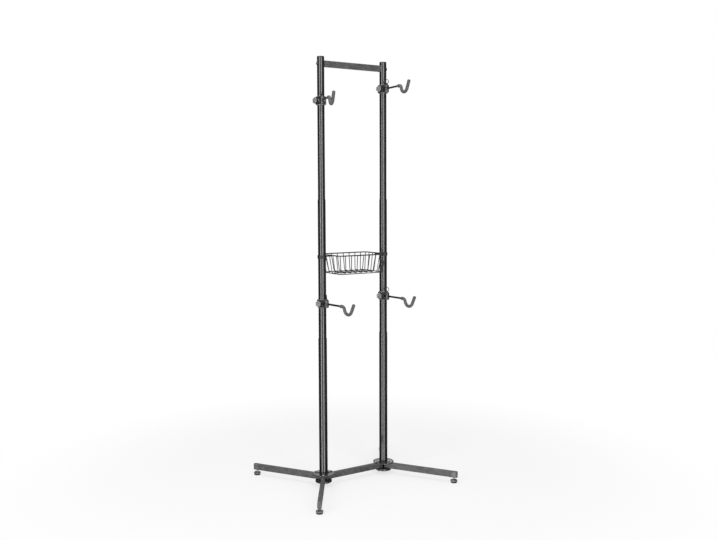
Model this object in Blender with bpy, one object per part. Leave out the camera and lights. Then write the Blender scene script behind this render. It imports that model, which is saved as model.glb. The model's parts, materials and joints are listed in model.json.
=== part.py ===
"""Free-standing bike storage stand: two posts of nested tubes on a four-legged base, four hinged
cradle arms on sliding collars, a top bar and a lift-off wire basket.

Metres, +Z up. The origin is on the floor midway between the posts. +X runs from the left
post to the right post, and the arms reach towards -Y, the front.
"""

import math

import bmesh
import bpy
from mathutils import Matrix, Vector

# Fits between neighbouring pieces
TOUCH_GAP = 0.0003
RUNNING_CLEARANCE = 0.00015
SWING_CLEARANCE = 0.0018

# Facets round each kind of circle
POST_SIDES = 16
PLATE_SIDES = 24
PIN_SIDES = 10
ROD_SIDES = 8
PAD_SIDES = 8
GLIDE_SIDES = 14
RING_SIDES = 14
RING_WIRE_SIDES = 5

# Posts
POST_FOOT_DIAMETER = 0.042
POST_WALL = 0.0015
POST_SECTION_LENGTH = 0.678
POST_OVERLAP = 0.055
SEAM_CHAMFER = 0.0007
POST_CAP_THICKNESS = 0.003
POST_CAP_DEPTH = 0.014

# Base tubes, the same section for the legs and the bar between the hubs
TUBE_WIDTH = 0.020
TUBE_HEIGHT = 0.030
TUBE_WALL = 0.0015
TUBE_CORNER = 0.0025
LEG_REACH = 0.4035
LEG_ANGLE = math.radians(122.7)
TUBE_END_SPACE = 0.004
LEG_CAP_LENGTH = 0.028
LEG_CAP_PLUG = 0.022
LEG_CAP_ROUNDING = 0.005

# Hubs
HUB_DIAMETER = 0.107
HUB_THICKNESS = 0.0035
HUB_SPIGOT_HEIGHT = 0.045
HUB_SPIGOT_WALL = 0.002
HUB_BASE_DIAMETER = 0.082
HUB_BASE_THICKNESS = 0.010
HUB_BASE_CHAMFER = 0.0025
HUB_CENTRE_HOLE = 0.012

# Levelling feet
GLIDE_DIAMETER = 0.031
GLIDE_THICKNESS = 0.004
GLIDE_PIP_DIAMETER = 0.006
GLIDE_PIP_HEIGHT = 0.004
FOOT_KNOB_DIAMETER = 0.037
FOOT_KNOB_HEIGHT = 0.012
FOOT_KNOB_CHAMFER = 0.0025
STUD_DIAMETER = 0.008
STUD_SHOWING = 0.011
STUD_ENGAGED = 0.018
STUD_FREE_DEPTH = 0.007
FOOT_INSET = 0.018

# Top bar
TOP_BAR_DROP = 0.016
TOP_BAR_HEIGHT = 0.030
TOP_BAR_DEPTH = 0.020
TOP_BAR_CORNER = 0.0025
BAR_BOLT_DIAMETER = 0.008
BAR_BOLT_ENGAGED = 0.022
BAR_BOLT_HEAD_DIAMETER = 0.017
BAR_BOLT_HEAD_HEIGHT = 0.004

# Arm brackets
UPPER_ARM_DROPS = {"upper_left": 0.2069, "upper_right": 0.1309}
LOWER_ARM_RISES = {"lower_left": 0.8508, "lower_right": 0.8656}
COLLAR_ANGLES = {"upper_left": -20.0, "upper_right": -5.0, "lower_left": 2.0, "lower_right": -3.0}
ARM_ANGLES = {"upper_left": 4.0, "upper_right": 0.0, "lower_left": 3.5, "lower_right": 7.0}
RING_ANGLES = {"upper_left": 85.0, "upper_right": -30.0, "lower_left": 55.0, "lower_right": -30.0}
LINER_WALL = 0.0016
LINER_FLANGE = 0.002
LINER_FLANGE_THICKNESS = 0.0025
LINER_SPLIT = 0.004
COLLAR_WALL = 0.004
COLLAR_HEIGHT = 0.036
COLLAR_EDGE = 0.001
EYE_DIAMETER = 0.022
EYE_HEIGHT = 0.0115
PIN_DIAMETER = 0.008
PIN_FLANGE_DIAMETER = 0.014
PIN_FLANGE_THICKNESS = 0.003
PIN_NECK_HEIGHT = 0.0065
PIN_TAIL = 0.002
RING_DIAMETER = 0.019
RING_WIRE = 0.003
KNOB_DIAMETER = 0.030
KNOB_THICKNESS = 0.011
KNOB_CHAMFER = 0.002
KNOB_SCREW_DIAMETER = 0.006
KNOB_BOSS_DIAMETER = 0.015
KNOB_BOSS_HEIGHT = 0.002

# Cradle arms
ROD_DIAMETER = 0.010
ROD_STRAIGHT = 0.128
ROD_DIP_RADIUS = 0.017
ROD_DIP_ANGLE = math.radians(75)
CRADLE_RADIUS = 0.0295
CRADLE_TIP_ANGLE = math.radians(62)
CRADLE_TIP_LENGTH = 0.038
PAD_WALL = 0.0027
PAD_START_SWELL = 0.001
PAD_LEAD = 0.012
PAD_END = 0.004

# Basket
BASKET_LENGTH = 0.286
BASKET_POST_ROOM = 0.0168
BASKET_DEPTH = 0.206
BASKET_HEIGHT = 0.095
BASKET_RIM_HEIGHT = 1.149
BASKET_BOTTOM_LENGTH = 0.252
BASKET_BOTTOM_DEPTH = 0.174
BASKET_GAPS_LONG = 8
BASKET_GAPS_DEEP = 6
BASKET_WIRE = 0.004
BASKET_RIM_WIRE = 0.006
HANGER_HEIGHT = 0.016
HANGER_WALL = 0.0025
HANGER_FORK_WIDTH = 0.022
HANGER_LIP = 0.005
HANGER_SEAT_DEPTH = 0.005

# Worked out from the sizes above
POST_STEP = POST_WALL + TOUCH_GAP
FOOT_RADIUS = POST_FOOT_DIAMETER / 2
MIDDLE_RADIUS = FOOT_RADIUS - POST_STEP
TOP_RADIUS = MIDDLE_RADIUS - POST_STEP
POST_SPACING = BASKET_LENGTH + 2 * (BASKET_POST_ROOM + MIDDLE_RADIUS)
TUBE_BOTTOM = GLIDE_THICKNESS + TOUCH_GAP + FOOT_KNOB_HEIGHT + STUD_SHOWING
TUBE_TOP = TUBE_BOTTOM + TUBE_HEIGHT
HUB_TOP = TUBE_TOP + TOUCH_GAP + HUB_THICKNESS
POST_BOTTOM = HUB_TOP + TOUCH_GAP
POST_TOP = POST_BOTTOM + 3 * POST_SECTION_LENGTH
SPIGOT_RADIUS = (FOOT_RADIUS - POST_WALL) * math.cos(math.pi / POST_SIDES) - RUNNING_CLEARANCE
NARROWEST_HALF_ANGLE = min(LEG_ANGLE / 2, math.pi - LEG_ANGLE)
TUBE_INNER_END = TUBE_WIDTH / 2 / math.tan(NARROWEST_HALF_ANGLE) + TUBE_END_SPACE
TOP_BAR_CENTRE = POST_TOP - TOP_BAR_DROP - TOP_BAR_HEIGHT / 2
ARM_HEIGHTS = {corner: POST_TOP - drop for corner, drop in UPPER_ARM_DROPS.items()}
ARM_HEIGHTS |= {corner: POST_BOTTOM + rise for corner, rise in LOWER_ARM_RISES.items()}


def bore(shaft_radius, sides, clearance=RUNNING_CLEARANCE):
    """Corner radius of a faceted hole whose flats clear a shaft at any turn."""
    return (shaft_radius + clearance) / math.cos(math.pi / sides)


LINER_RADIUS = bore(MIDDLE_RADIUS, POST_SIDES) + LINER_WALL
COLLAR_BORE = bore(LINER_RADIUS, POST_SIDES)
COLLAR_RADIUS = COLLAR_BORE + COLLAR_WALL
HINGE_REACH = COLLAR_RADIUS + SWING_CLEARANCE + EYE_DIAMETER / 2
KNOB_SEAT = COLLAR_RADIUS + KNOB_BOSS_HEIGHT
KNOB_TURN = math.asin((COLLAR_RADIUS - EYE_DIAMETER / 2) / HINGE_REACH)
PAD_RADIUS = bore(ROD_DIAMETER / 2, ROD_SIDES) + PAD_WALL

FINISHES = {
    "gloss_black_paint": ((0.020, 0.020, 0.022), 0.28, 0.0),
    "charcoal_paint": ((0.085, 0.085, 0.090), 0.45, 0.0),
    "zinc_steel": ((0.62, 0.62, 0.60), 0.32, 1.0),
    "black_nylon": ((0.030, 0.030, 0.032), 0.55, 0.0),
    "grey_nylon": ((0.33, 0.34, 0.35), 0.50, 0.0),
    "grey_rubber": ((0.17, 0.17, 0.18), 0.75, 0.0),
    "black_wire": ((0.030, 0.030, 0.030), 0.40, 0.0),
}


def clear_scene():
    for obj in list(bpy.data.objects):
        bpy.data.objects.remove(obj, do_unlink=True)


def finish(name):
    """Principled material of one finish, made once."""
    if name in bpy.data.materials:
        return bpy.data.materials[name]
    colour, roughness, metallic = FINISHES[name]
    material = bpy.data.materials.new(name)
    material.use_nodes = True
    shader = material.node_tree.nodes["Principled BSDF"]
    shader.inputs["Base Color"].default_value = (*colour, 1.0)
    shader.inputs["Roughness"].default_value = roughness
    shader.inputs["Metallic"].default_value = metallic
    material.diffuse_color = (*colour, 1.0)
    return material


def finished_mesh(bm, name):
    """Mesh from a bmesh, with its doubles merged and its faces pointing out."""
    bmesh.ops.remove_doubles(bm, verts=bm.verts, dist=1e-6)
    bmesh.ops.recalc_face_normals(bm, faces=bm.faces)
    mesh = bpy.data.meshes.new(name)
    bm.to_mesh(mesh)
    bm.free()
    return mesh


def turned(name, profile, sides, on_axis=False):
    """Solid of a profile of (radius, height) points spun about Z.

    A profile that starts and ends on the axis is left open there, and its poles close.
    """
    bm = bmesh.new()
    verts = [bm.verts.new((radius, 0, height)) for radius, height in profile]
    pairs = list(zip(verts, verts[1:]))
    if not on_axis:
        pairs.append((verts[-1], verts[0]))
    edges = [bm.edges.new(pair) for pair in pairs]
    bmesh.ops.spin(bm, geom=verts + edges, axis=(0, 0, 1), angle=math.tau, steps=sides, use_merge=True)
    return finished_mesh(bm, name)


def lofted(name, loops):
    """Solid through a row of loops with equal numbers of points, capped at both ends."""
    bm = bmesh.new()
    rings = [[bm.verts.new(point) for point in loop] for loop in loops]
    for low, high in zip(rings, rings[1:]):
        for i in range(len(low)):
            j = (i + 1) % len(low)
            bm.faces.new((low[i], low[j], high[j], high[i]))
    bm.faces.new(rings[0])
    bm.faces.new(rings[-1])
    return finished_mesh(bm, name)


def at_height(outline, height, inset=0.0):
    """Outline of (x, y) points as a loop at a height, drawn in towards its centre by an inset."""
    loop = []
    for x, y in outline:
        share = 1 - inset / math.hypot(x, y) if inset else 1
        loop.append((x * share, y * share, height))
    return loop


def circle(radius, sides):
    angles = [math.tau * i / sides for i in range(sides)]
    return [(radius * math.cos(angle), radius * math.sin(angle)) for angle in angles]


def rounded_rectangle(width, height, corner, steps=3):
    """Outline of a rectangle about the origin whose corners are arcs of a few steps."""
    points = []
    for turn, (sx, sy) in enumerate(((1, 1), (-1, 1), (-1, -1), (1, -1))):
        for step in range(steps):
            angle = math.pi / 2 * (turn + step / (steps - 1))
            points.append((
                sx * (width / 2 - corner) + corner * math.cos(angle),
                sy * (height / 2 - corner) + corner * math.sin(angle),
            ))
    return points


def teardrop(big, small, reach, sides):
    """Outline of a circle at the origin and a smaller one at (0, -reach), joined by tangents."""
    lean = math.asin((big - small) / reach)
    points = []
    turns = sides // 2
    for step in range(turns + 1):
        angle = -lean + (math.pi + 2 * lean) * step / turns
        points.append((big * math.cos(angle), big * math.sin(angle)))
    for step in range(turns // 2 + 1):
        angle = math.pi + lean + (math.pi - 2 * lean) * step / (turns // 2)
        points.append((small * math.cos(angle), -reach + small * math.sin(angle)))
    return points


def lobed(radius, hollow, lobes, steps=4):
    """Outline of a hand knob: a circle whose rim swings in and out once for each lobe."""
    count = lobes * steps
    points = []
    for i in range(count):
        angle = math.tau * i / count
        reach = radius - hollow * (1 - math.cos(lobes * angle)) / 2
        points.append((reach * math.cos(angle), reach * math.sin(angle)))
    return points


def box(name, low, high):
    """Solid box between two corners."""
    outline = [(low[0], low[1]), (high[0], low[1]), (high[0], high[1]), (low[0], high[1])]
    return lofted(name, [at_height(outline, low[2]), at_height(outline, high[2])])


def drum(name, radius, low, high, sides, matrix=Matrix()):
    """Cylinder along Z between two heights, then moved by a matrix."""
    mesh = lofted(name, [at_height(circle(radius, sides), low), at_height(circle(radius, sides), high)])
    mesh.transform(matrix)
    return mesh


def combined(mesh, operations):
    """Mesh after a row of exact Booleans, each a pair of an operation and the mesh it uses."""
    target = bpy.data.objects.new(mesh.name, mesh)
    bpy.context.scene.collection.objects.link(target)
    helpers = [target]
    for index, (operation, tool) in enumerate(operations):
        helper = bpy.data.objects.new(f"{mesh.name}_tool_{index}", tool)
        helper.hide_render = True
        helper.display_type = "WIRE"
        bpy.context.scene.collection.objects.link(helper)
        helpers.append(helper)
        modifier = target.modifiers.new(f"step_{index}", "BOOLEAN")
        modifier.operation = operation
        modifier.solver = "EXACT"
        modifier.object = helper
    graph = bpy.context.evaluated_depsgraph_get()
    result = bpy.data.meshes.new_from_object(target.evaluated_get(graph))
    result.name = f"{mesh.name}_shape"
    for helper in helpers:
        bpy.data.objects.remove(helper, do_unlink=True)
    return result


def place(name, mesh, finish_name, location=(0, 0, 0), rotation=(0, 0, 0), parent=None):
    """Named object of a mesh, in one finish, at a place under its parent."""
    if not mesh.materials:
        mesh.materials.append(finish(finish_name))
        mesh.shade_smooth()
        mesh.set_sharp_from_angle(angle=math.radians(32))
    obj = bpy.data.objects.new(name, mesh)
    obj.location = location
    obj.rotation_euler = rotation
    obj.parent = parent
    bpy.context.scene.collection.objects.link(obj)
    return obj


def empty(name, location, parent=None):
    obj = bpy.data.objects.new(name, None)
    obj.location = location
    obj.parent = parent
    bpy.context.scene.collection.objects.link(obj)
    return obj


# Base

def tube_mesh(name, start, end):
    """Hollow rounded tube along +X, its section centred on the X axis."""
    outside = rounded_rectangle(TUBE_WIDTH, TUBE_HEIGHT, TUBE_CORNER)
    inner_corner = max(TUBE_CORNER - TUBE_WALL, TOUCH_GAP)
    inside = rounded_rectangle(TUBE_WIDTH - 2 * TUBE_WALL, TUBE_HEIGHT - 2 * TUBE_WALL, inner_corner)
    bm = bmesh.new()
    rings = []
    for outline in (outside, inside):
        for x in (start, end):
            rings.append([bm.verts.new((x, y, z)) for y, z in outline])
    near_out, far_out, near_in, far_in = rings
    count = len(outside)
    for i in range(count):
        j = (i + 1) % count
        bm.faces.new((near_out[i], near_out[j], far_out[j], far_out[i]))
        bm.faces.new((near_in[j], near_in[i], far_in[i], far_in[j]))
        bm.faces.new((near_out[j], near_out[i], near_in[i], near_in[j]))
        bm.faces.new((far_out[i], far_out[j], far_in[j], far_in[i]))
    return finished_mesh(bm, name)


def leg_cap_mesh():
    """Moulded leg end along +X from the tube's end: flush block, plug inside the tube, stud bore."""
    half = TUBE_WIDTH / 2
    corner = LEG_CAP_ROUNDING
    outline = [(TOUCH_GAP, -half)]
    for step in range(4):
        angle = -math.pi / 2 + math.pi / 2 * step / 3
        x = LEG_CAP_LENGTH - corner + corner * math.cos(angle)
        outline.append((x, -half + corner + corner * math.sin(angle)))
    outline += [(x, -y) for x, y in reversed(outline)]
    low, high = -TUBE_HEIGHT / 2, TUBE_HEIGHT / 2
    edge = TUBE_CORNER / 2
    loops = []
    for inset, height in ((edge, low), (0, low + edge), (0, high - edge), (edge, high)):
        reach = LEG_CAP_LENGTH - inset
        loops.append([(min(x, reach), math.copysign(max(abs(y) - inset, 0), y), height) for x, y in outline])
    block = lofted("leg_cap", loops)
    plug_y = half - TUBE_WALL - TOUCH_GAP
    plug_z = high - TUBE_WALL - TOUCH_GAP
    plug_corner = max(TUBE_CORNER - TUBE_WALL, TOUCH_GAP)
    section = rounded_rectangle(2 * plug_y, 2 * plug_z, plug_corner)
    plug = lofted("leg_cap_plug", [[(x, y, z) for y, z in section] for x in (-LEG_CAP_PLUG, 2 * TOUCH_GAP)])
    stud_hole = bore(STUD_DIAMETER / 2, PIN_SIDES)
    stud_at = Matrix.Translation((LEG_CAP_LENGTH - FOOT_INSET, 0, 0))
    hole_top = low + STUD_ENGAGED + STUD_FREE_DEPTH
    hole = drum("leg_cap_hole", stud_hole, low - TUBE_CORNER, hole_top, PIN_SIDES, stud_at)
    return combined(block, [("UNION", plug), ("DIFFERENCE", hole)])


def glide_mesh():
    """Flat glide that rests on the floor, with the pip that the foot knob turns on."""
    pip = GLIDE_PIP_DIAMETER / 2
    rim = GLIDE_DIAMETER / 2
    edge = GLIDE_THICKNESS / 4
    pip_top = GLIDE_THICKNESS + GLIDE_PIP_HEIGHT
    profile = [(0, 0), (rim - edge, 0), (rim, edge), (rim, GLIDE_THICKNESS)]
    profile += [(pip, GLIDE_THICKNESS), (pip, pip_top), (0, pip_top)]
    return turned("glide", profile, GLIDE_SIDES, on_axis=True)


def foot_knob_mesh():
    """Lobed hand knob with its levelling stud, from the knob's underside at height 0."""
    outline = lobed(FOOT_KNOB_DIAMETER / 2, FOOT_KNOB_DIAMETER * 0.06, 6)
    top = FOOT_KNOB_HEIGHT
    head = lofted("foot_knob", [
        at_height(outline, 0, FOOT_KNOB_CHAMFER),
        at_height(outline, FOOT_KNOB_CHAMFER),
        at_height(outline, top - FOOT_KNOB_CHAMFER),
        at_height(outline, top, FOOT_KNOB_CHAMFER),
    ])
    stud_top = top + STUD_SHOWING + STUD_ENGAGED
    stud = drum("foot_stud", STUD_DIAMETER / 2, top / 2, stud_top, PIN_SIDES)
    recess_radius = bore(GLIDE_PIP_DIAMETER / 2, GLIDE_SIDES)
    recess = drum("foot_recess", recess_radius, -GLIDE_PIP_HEIGHT, GLIDE_PIP_HEIGHT, GLIDE_SIDES)
    return combined(head, [("UNION", stud), ("DIFFERENCE", recess)])


def hub_top_mesh():
    """Round top plate with the spigot that the post slips over."""
    rim = HUB_DIAMETER / 2
    low = HUB_TOP - HUB_THICKNESS
    inner = SPIGOT_RADIUS - HUB_SPIGOT_WALL
    profile = [
        (inner, low), (rim, low), (rim, HUB_TOP), (SPIGOT_RADIUS, HUB_TOP),
        (SPIGOT_RADIUS, HUB_TOP + HUB_SPIGOT_HEIGHT), (inner, HUB_TOP + HUB_SPIGOT_HEIGHT),
    ]
    return turned("hub_top", profile, PLATE_SIDES)


def hub_base_mesh():
    """Smaller and thicker round plate under the tubes, bored through its middle."""
    rim = HUB_BASE_DIAMETER / 2
    high = TUBE_BOTTOM - TOUCH_GAP
    low = high - HUB_BASE_THICKNESS
    inner = HUB_CENTRE_HOLE / 2
    edge = HUB_BASE_CHAMFER
    profile = [(inner, low), (rim - edge, low), (rim, low + edge), (rim, high), (inner, high)]
    return turned("hub_base", profile, PLATE_SIDES)


def make_base():
    """Two hubs, the bar between them, and four legs with their caps and levelling feet."""
    tube_centre = TUBE_BOTTOM + TUBE_HEIGHT / 2
    tube_end = LEG_REACH - LEG_CAP_LENGTH
    leg = tube_mesh("leg_tube", TUBE_INNER_END, tube_end)
    cap = leg_cap_mesh()
    glide = glide_mesh()
    foot_knob = foot_knob_mesh()
    hub_top = hub_top_mesh()
    hub_base = hub_base_mesh()
    half_bar = POST_SPACING / 2 - TUBE_INNER_END
    place("base_bar", tube_mesh("base_bar", -half_bar, half_bar), "charcoal_paint", (0, 0, tube_centre))
    for side, sign in (("left", -1), ("right", 1)):
        hub_x = sign * POST_SPACING / 2
        bar_angle = 0 if sign < 0 else math.pi
        angles = {"front": bar_angle + sign * LEG_ANGLE, "back": bar_angle - sign * LEG_ANGLE}
        place(f"hub_plate_top_{side}", hub_top, "charcoal_paint", (hub_x, 0, 0))
        place(f"hub_plate_bottom_{side}", hub_base, "charcoal_paint", (hub_x, 0, 0))
        for end, angle in angles.items():
            reach = Vector((math.cos(angle), math.sin(angle), 0))
            hub = Vector((hub_x, 0, tube_centre))
            place(f"leg_{end}_{side}", leg, "charcoal_paint", hub, (0, 0, angle))
            place(f"leg_cap_{end}_{side}", cap, "black_nylon", hub + reach * tube_end, (0, 0, angle))
            foot = reach * (LEG_REACH - FOOT_INSET) + Vector((hub_x, 0, 0))
            rest = place(f"foot_glide_{end}_{side}", glide, "black_nylon", foot, (0, 0, angle))
            above = (0, 0, GLIDE_THICKNESS + TOUCH_GAP)
            place(f"foot_knob_{end}_{side}", foot_knob, "black_nylon", above, parent=rest)


# Posts

def post_mesh(name, radius, overlap=0.0, bolt_height=None):
    """One tube of a post from height 0, reaching down by its overlap into the wider tube below."""
    length = POST_SECTION_LENGTH - TOUCH_GAP
    section = turned(name, [
        (radius, length - SEAM_CHAMFER), (radius - SEAM_CHAMFER, length), (radius - POST_WALL, length),
        (radius - POST_WALL, -overlap), (radius, -overlap),
    ], POST_SIDES)
    if bolt_height is None:
        return section
    hole = bore(BAR_BOLT_DIAMETER / 2, PIN_SIDES)
    across = Matrix.Translation((0, 0, bolt_height)) @ Matrix.Rotation(math.pi / 2, 4, "Y")
    bolt_way = drum("bolt_way", hole, -2 * radius, 2 * radius, PIN_SIDES, across)
    return combined(section, [("DIFFERENCE", bolt_way)])


def post_cap_mesh():
    """Domed plastic plug in the open top of a post, from the post's rim at height 0."""
    plug = TOP_RADIUS - POST_WALL - TOUCH_GAP
    crown = POST_CAP_THICKNESS + TOUCH_GAP
    profile = [
        (0, -POST_CAP_DEPTH), (plug, -POST_CAP_DEPTH), (plug, TOUCH_GAP), (TOP_RADIUS, TOUCH_GAP),
        (TOP_RADIUS, crown - POST_CAP_THICKNESS / 2), (TOP_RADIUS - POST_CAP_THICKNESS, crown), (0, crown),
    ]
    return turned("post_cap", profile, POST_SIDES, on_axis=True)


def top_bar_mesh():
    """Bar between the posts, its ends coped to their round walls and bored for the bolts."""
    section = rounded_rectangle(TOP_BAR_DEPTH, TOP_BAR_HEIGHT, TOP_BAR_CORNER)
    half = POST_SPACING / 2
    bar = lofted("top_bar", [[(x, y, z) for y, z in section] for x in (-half, half)])
    cuts = []
    cope = bore(TOP_RADIUS, POST_SIDES, TOUCH_GAP)
    hole = bore(BAR_BOLT_DIAMETER / 2, PIN_SIDES)
    depth = BAR_BOLT_ENGAGED + TOUCH_GAP
    for sign in (-1, 1):
        post_at = Matrix.Translation((sign * half, 0, 0))
        cuts.append(("DIFFERENCE", drum("cope", cope, -TOP_BAR_HEIGHT, TOP_BAR_HEIGHT, POST_SIDES, post_at)))
        along = Matrix.Translation((sign * (half - TOP_RADIUS), 0, 0)) @ Matrix.Rotation(math.pi / 2, 4, "Y")
        cuts.append(("DIFFERENCE", drum("bolt_bore", hole, -depth, depth, PIN_SIDES, along)))
    return combined(bar, cuts)


def bar_bolt_mesh():
    """Domed bolt along +Z from under its head, through both walls of the post into the bar."""
    shank = BAR_BOLT_DIAMETER / 2
    head = BAR_BOLT_HEAD_DIAMETER / 2
    crown = head - BAR_BOLT_HEAD_HEIGHT
    reach = 2 * TOP_RADIUS + BAR_BOLT_ENGAGED
    profile = [
        (0, -BAR_BOLT_HEAD_HEIGHT), (crown, -BAR_BOLT_HEAD_HEIGHT), (head, -BAR_BOLT_HEAD_HEIGHT / 3),
        (head, 0), (shank, 0), (shank, reach), (0, reach),
    ]
    return turned("bar_bolt", profile, PIN_SIDES, on_axis=True)


def make_posts():
    """Both posts in three nested tubes each, their caps, and the bolted top bar."""
    bolt_height = TOP_BAR_CENTRE - (POST_TOP - POST_SECTION_LENGTH)
    sections = (
        ("lower", post_mesh("post_lower", FOOT_RADIUS)),
        ("middle", post_mesh("post_middle", MIDDLE_RADIUS, POST_OVERLAP)),
        ("upper", post_mesh("post_upper", TOP_RADIUS, POST_OVERLAP, bolt_height)),
    )
    cap = post_cap_mesh()
    bolt = bar_bolt_mesh()
    for side, sign in (("left", -1), ("right", 1)):
        x = sign * POST_SPACING / 2
        for level, (name, mesh) in enumerate(sections):
            foot = POST_BOTTOM + level * POST_SECTION_LENGTH
            place(f"post_{name}_{side}", mesh, "gloss_black_paint", (x, 0, foot))
        place(f"post_cap_{side}", cap, "black_nylon", (x, 0, POST_TOP))
        outer = x + sign * (TOP_RADIUS + TOUCH_GAP)
        place(f"bar_bolt_{side}", bolt, "zinc_steel", (outer, 0, TOP_BAR_CENTRE), (0, -sign * math.pi / 2, 0))
    place("top_bar", top_bar_mesh(), "charcoal_paint", (0, 0, TOP_BAR_CENTRE))


# Arm brackets

def liner_mesh(post_radius):
    """Split plastic sleeve that fills the space from a post to the collar, flanged at both ends."""
    inner = bore(post_radius, POST_SIDES)
    half = COLLAR_HEIGHT / 2 + TOUCH_GAP
    rim = LINER_RADIUS + LINER_FLANGE
    end = half + LINER_FLANGE_THICKNESS
    profile = [
        (inner, -end), (rim, -end), (rim, -half), (LINER_RADIUS, -half),
        (LINER_RADIUS, half), (rim, half), (rim, end), (inner, end),
    ]
    sleeve = turned("arm_liner", profile, POST_SIDES)
    split = box("liner_split", (-LINER_SPLIT / 2, 0, -2 * end), (LINER_SPLIT / 2, 2 * rim, 2 * end))
    return combined(sleeve, [("DIFFERENCE", split)])


def collar_mesh():
    """Cast collar: a drop-shaped body round the liner, a forked hinge in front, a boss on its left flat."""
    half = COLLAR_HEIGHT / 2
    outline = teardrop(COLLAR_RADIUS, EYE_DIAMETER / 2, HINGE_REACH, POST_SIDES)
    body = lofted("arm_collar", [
        at_height(outline, -half, COLLAR_EDGE), at_height(outline, -half + COLLAR_EDGE),
        at_height(outline, half - COLLAR_EDGE), at_height(outline, half, COLLAR_EDGE),
    ])
    left = Matrix.Rotation(KNOB_TURN, 4, "Z") @ Matrix.Rotation(-math.pi / 2, 4, "Y")
    boss = drum("collar_boss", KNOB_BOSS_DIAMETER / 2, COLLAR_BORE, KNOB_SEAT, PIN_SIDES, left)
    way = drum("collar_way", COLLAR_BORE, -COLLAR_HEIGHT, COLLAR_HEIGHT, POST_SIDES)
    slot_half = EYE_HEIGHT / 2 + TOUCH_GAP
    slot_back = -(HINGE_REACH - EYE_DIAMETER / 2 - SWING_CLEARANCE)
    slot_low = (-COLLAR_RADIUS, -2 * HINGE_REACH, -slot_half)
    slot = box("collar_slot", slot_low, (COLLAR_RADIUS, slot_back, slot_half))
    pin_at = Matrix.Translation((0, -HINGE_REACH, 0))
    pin_hole = bore(PIN_DIAMETER / 2, PIN_SIDES)
    pin_way = drum("collar_pin_way", pin_hole, -COLLAR_HEIGHT, COLLAR_HEIGHT, PIN_SIDES, pin_at)
    screw_hole = bore(KNOB_SCREW_DIAMETER / 2, PIN_SIDES)
    screw_way = drum("collar_screw_way", screw_hole, TOP_RADIUS, 2 * COLLAR_RADIUS, PIN_SIDES, left)
    return combined(body, [("UNION", boss), *(("DIFFERENCE", cut) for cut in (way, slot, pin_way, screw_way))])


def hinge_pin_mesh():
    """Hinge pin with a flanged head, and the pull ring through its neck. Height 0 is mid collar."""
    shank = PIN_DIAMETER / 2
    flange = PIN_FLANGE_DIAMETER / 2
    seat = COLLAR_HEIGHT / 2 + TOUCH_GAP
    neck = seat + PIN_FLANGE_THICKNESS
    tail = -COLLAR_HEIGHT / 2 - PIN_TAIL
    profile = [
        (0, tail), (shank / 2, tail), (shank, tail + PIN_TAIL), (shank, seat), (flange, seat),
        (flange, neck), (shank, neck), (shank, neck + PIN_NECK_HEIGHT), (0, neck + PIN_NECK_HEIGHT),
    ]
    pin = turned("hinge_pin", profile, PIN_SIDES, on_axis=True)
    wire = RING_WIRE / 2
    middle = RING_DIAMETER / 2
    ring_height = neck + PIN_NECK_HEIGHT / 2 + middle
    section = [(middle + x, y) for x, y in circle(wire, RING_WIRE_SIDES)]
    ring = turned("pull_ring", section, RING_SIDES)
    ring.transform(Matrix.Translation((0, 0, ring_height)) @ Matrix.Rotation(math.pi / 2, 4, "X"))
    return combined(pin, [("UNION", ring)])


def clamp_knob_mesh():
    """Lobed clamp knob with its screw, pointing down at the liner from the boss face at height 0."""
    outline = lobed(KNOB_DIAMETER / 2, KNOB_DIAMETER * 0.07, 6)
    top = TOUCH_GAP + KNOB_THICKNESS
    head = lofted("clamp_knob", [
        at_height(outline, TOUCH_GAP, KNOB_CHAMFER), at_height(outline, TOUCH_GAP + KNOB_CHAMFER),
        at_height(outline, top - KNOB_CHAMFER), at_height(outline, top, KNOB_CHAMFER),
    ])
    tip = -(KNOB_SEAT - LINER_RADIUS - TOUCH_GAP)
    screw = drum("clamp_screw", KNOB_SCREW_DIAMETER / 2, tip, KNOB_THICKNESS / 2, PIN_SIDES)
    return combined(head, [("UNION", screw)])


def arm_path():
    """Centre line of the bent rod from the pin axis, as (forward, up, heading) points.

    It runs straight out, dips in one arc, swings up in the cradle's arc and ends in a straight tip.
    """
    path = [(EYE_DIAMETER / 2 * 0.7, 0.0, 0.0), (ROD_STRAIGHT - PAD_LEAD, 0.0, 0.0)]
    dip_steps = 2
    for step in range(dip_steps + 1):
        angle = ROD_DIP_ANGLE * step / dip_steps
        forward = ROD_STRAIGHT + ROD_DIP_RADIUS * math.sin(angle)
        path.append((forward, -ROD_DIP_RADIUS * (1 - math.cos(angle)), -angle))
    low_forward, low_up, _ = path[-1]
    centre_forward = low_forward + CRADLE_RADIUS * math.sin(ROD_DIP_ANGLE)
    centre_up = low_up + CRADLE_RADIUS * math.cos(ROD_DIP_ANGLE)
    cradle_steps = 6
    for step in range(1, cradle_steps + 1):
        heading = -ROD_DIP_ANGLE + (ROD_DIP_ANGLE + CRADLE_TIP_ANGLE) * step / cradle_steps
        forward = centre_forward + CRADLE_RADIUS * math.sin(heading)
        path.append((forward, centre_up - CRADLE_RADIUS * math.cos(heading), heading))
    forward, up, heading = path[-1]
    tip_forward = forward + CRADLE_TIP_LENGTH * math.cos(heading)
    path.append((tip_forward, up + CRADLE_TIP_LENGTH * math.sin(heading), heading))
    return path


def ring_about(point, radius, sides):
    """Circle of corners square to the rod's heading at one point of its path."""
    forward, up, heading = point
    loop = []
    for i in range(sides):
        angle = math.tau * (i + 0.5) / sides
        across, lift = radius * math.cos(angle), radius * math.sin(angle)
        loop.append((across, -(forward - lift * math.sin(heading)), up + lift * math.cos(heading)))
    return loop


def moved_on(point, distance):
    forward, up, heading = point
    return (forward + distance * math.cos(heading), up + distance * math.sin(heading), heading)


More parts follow.
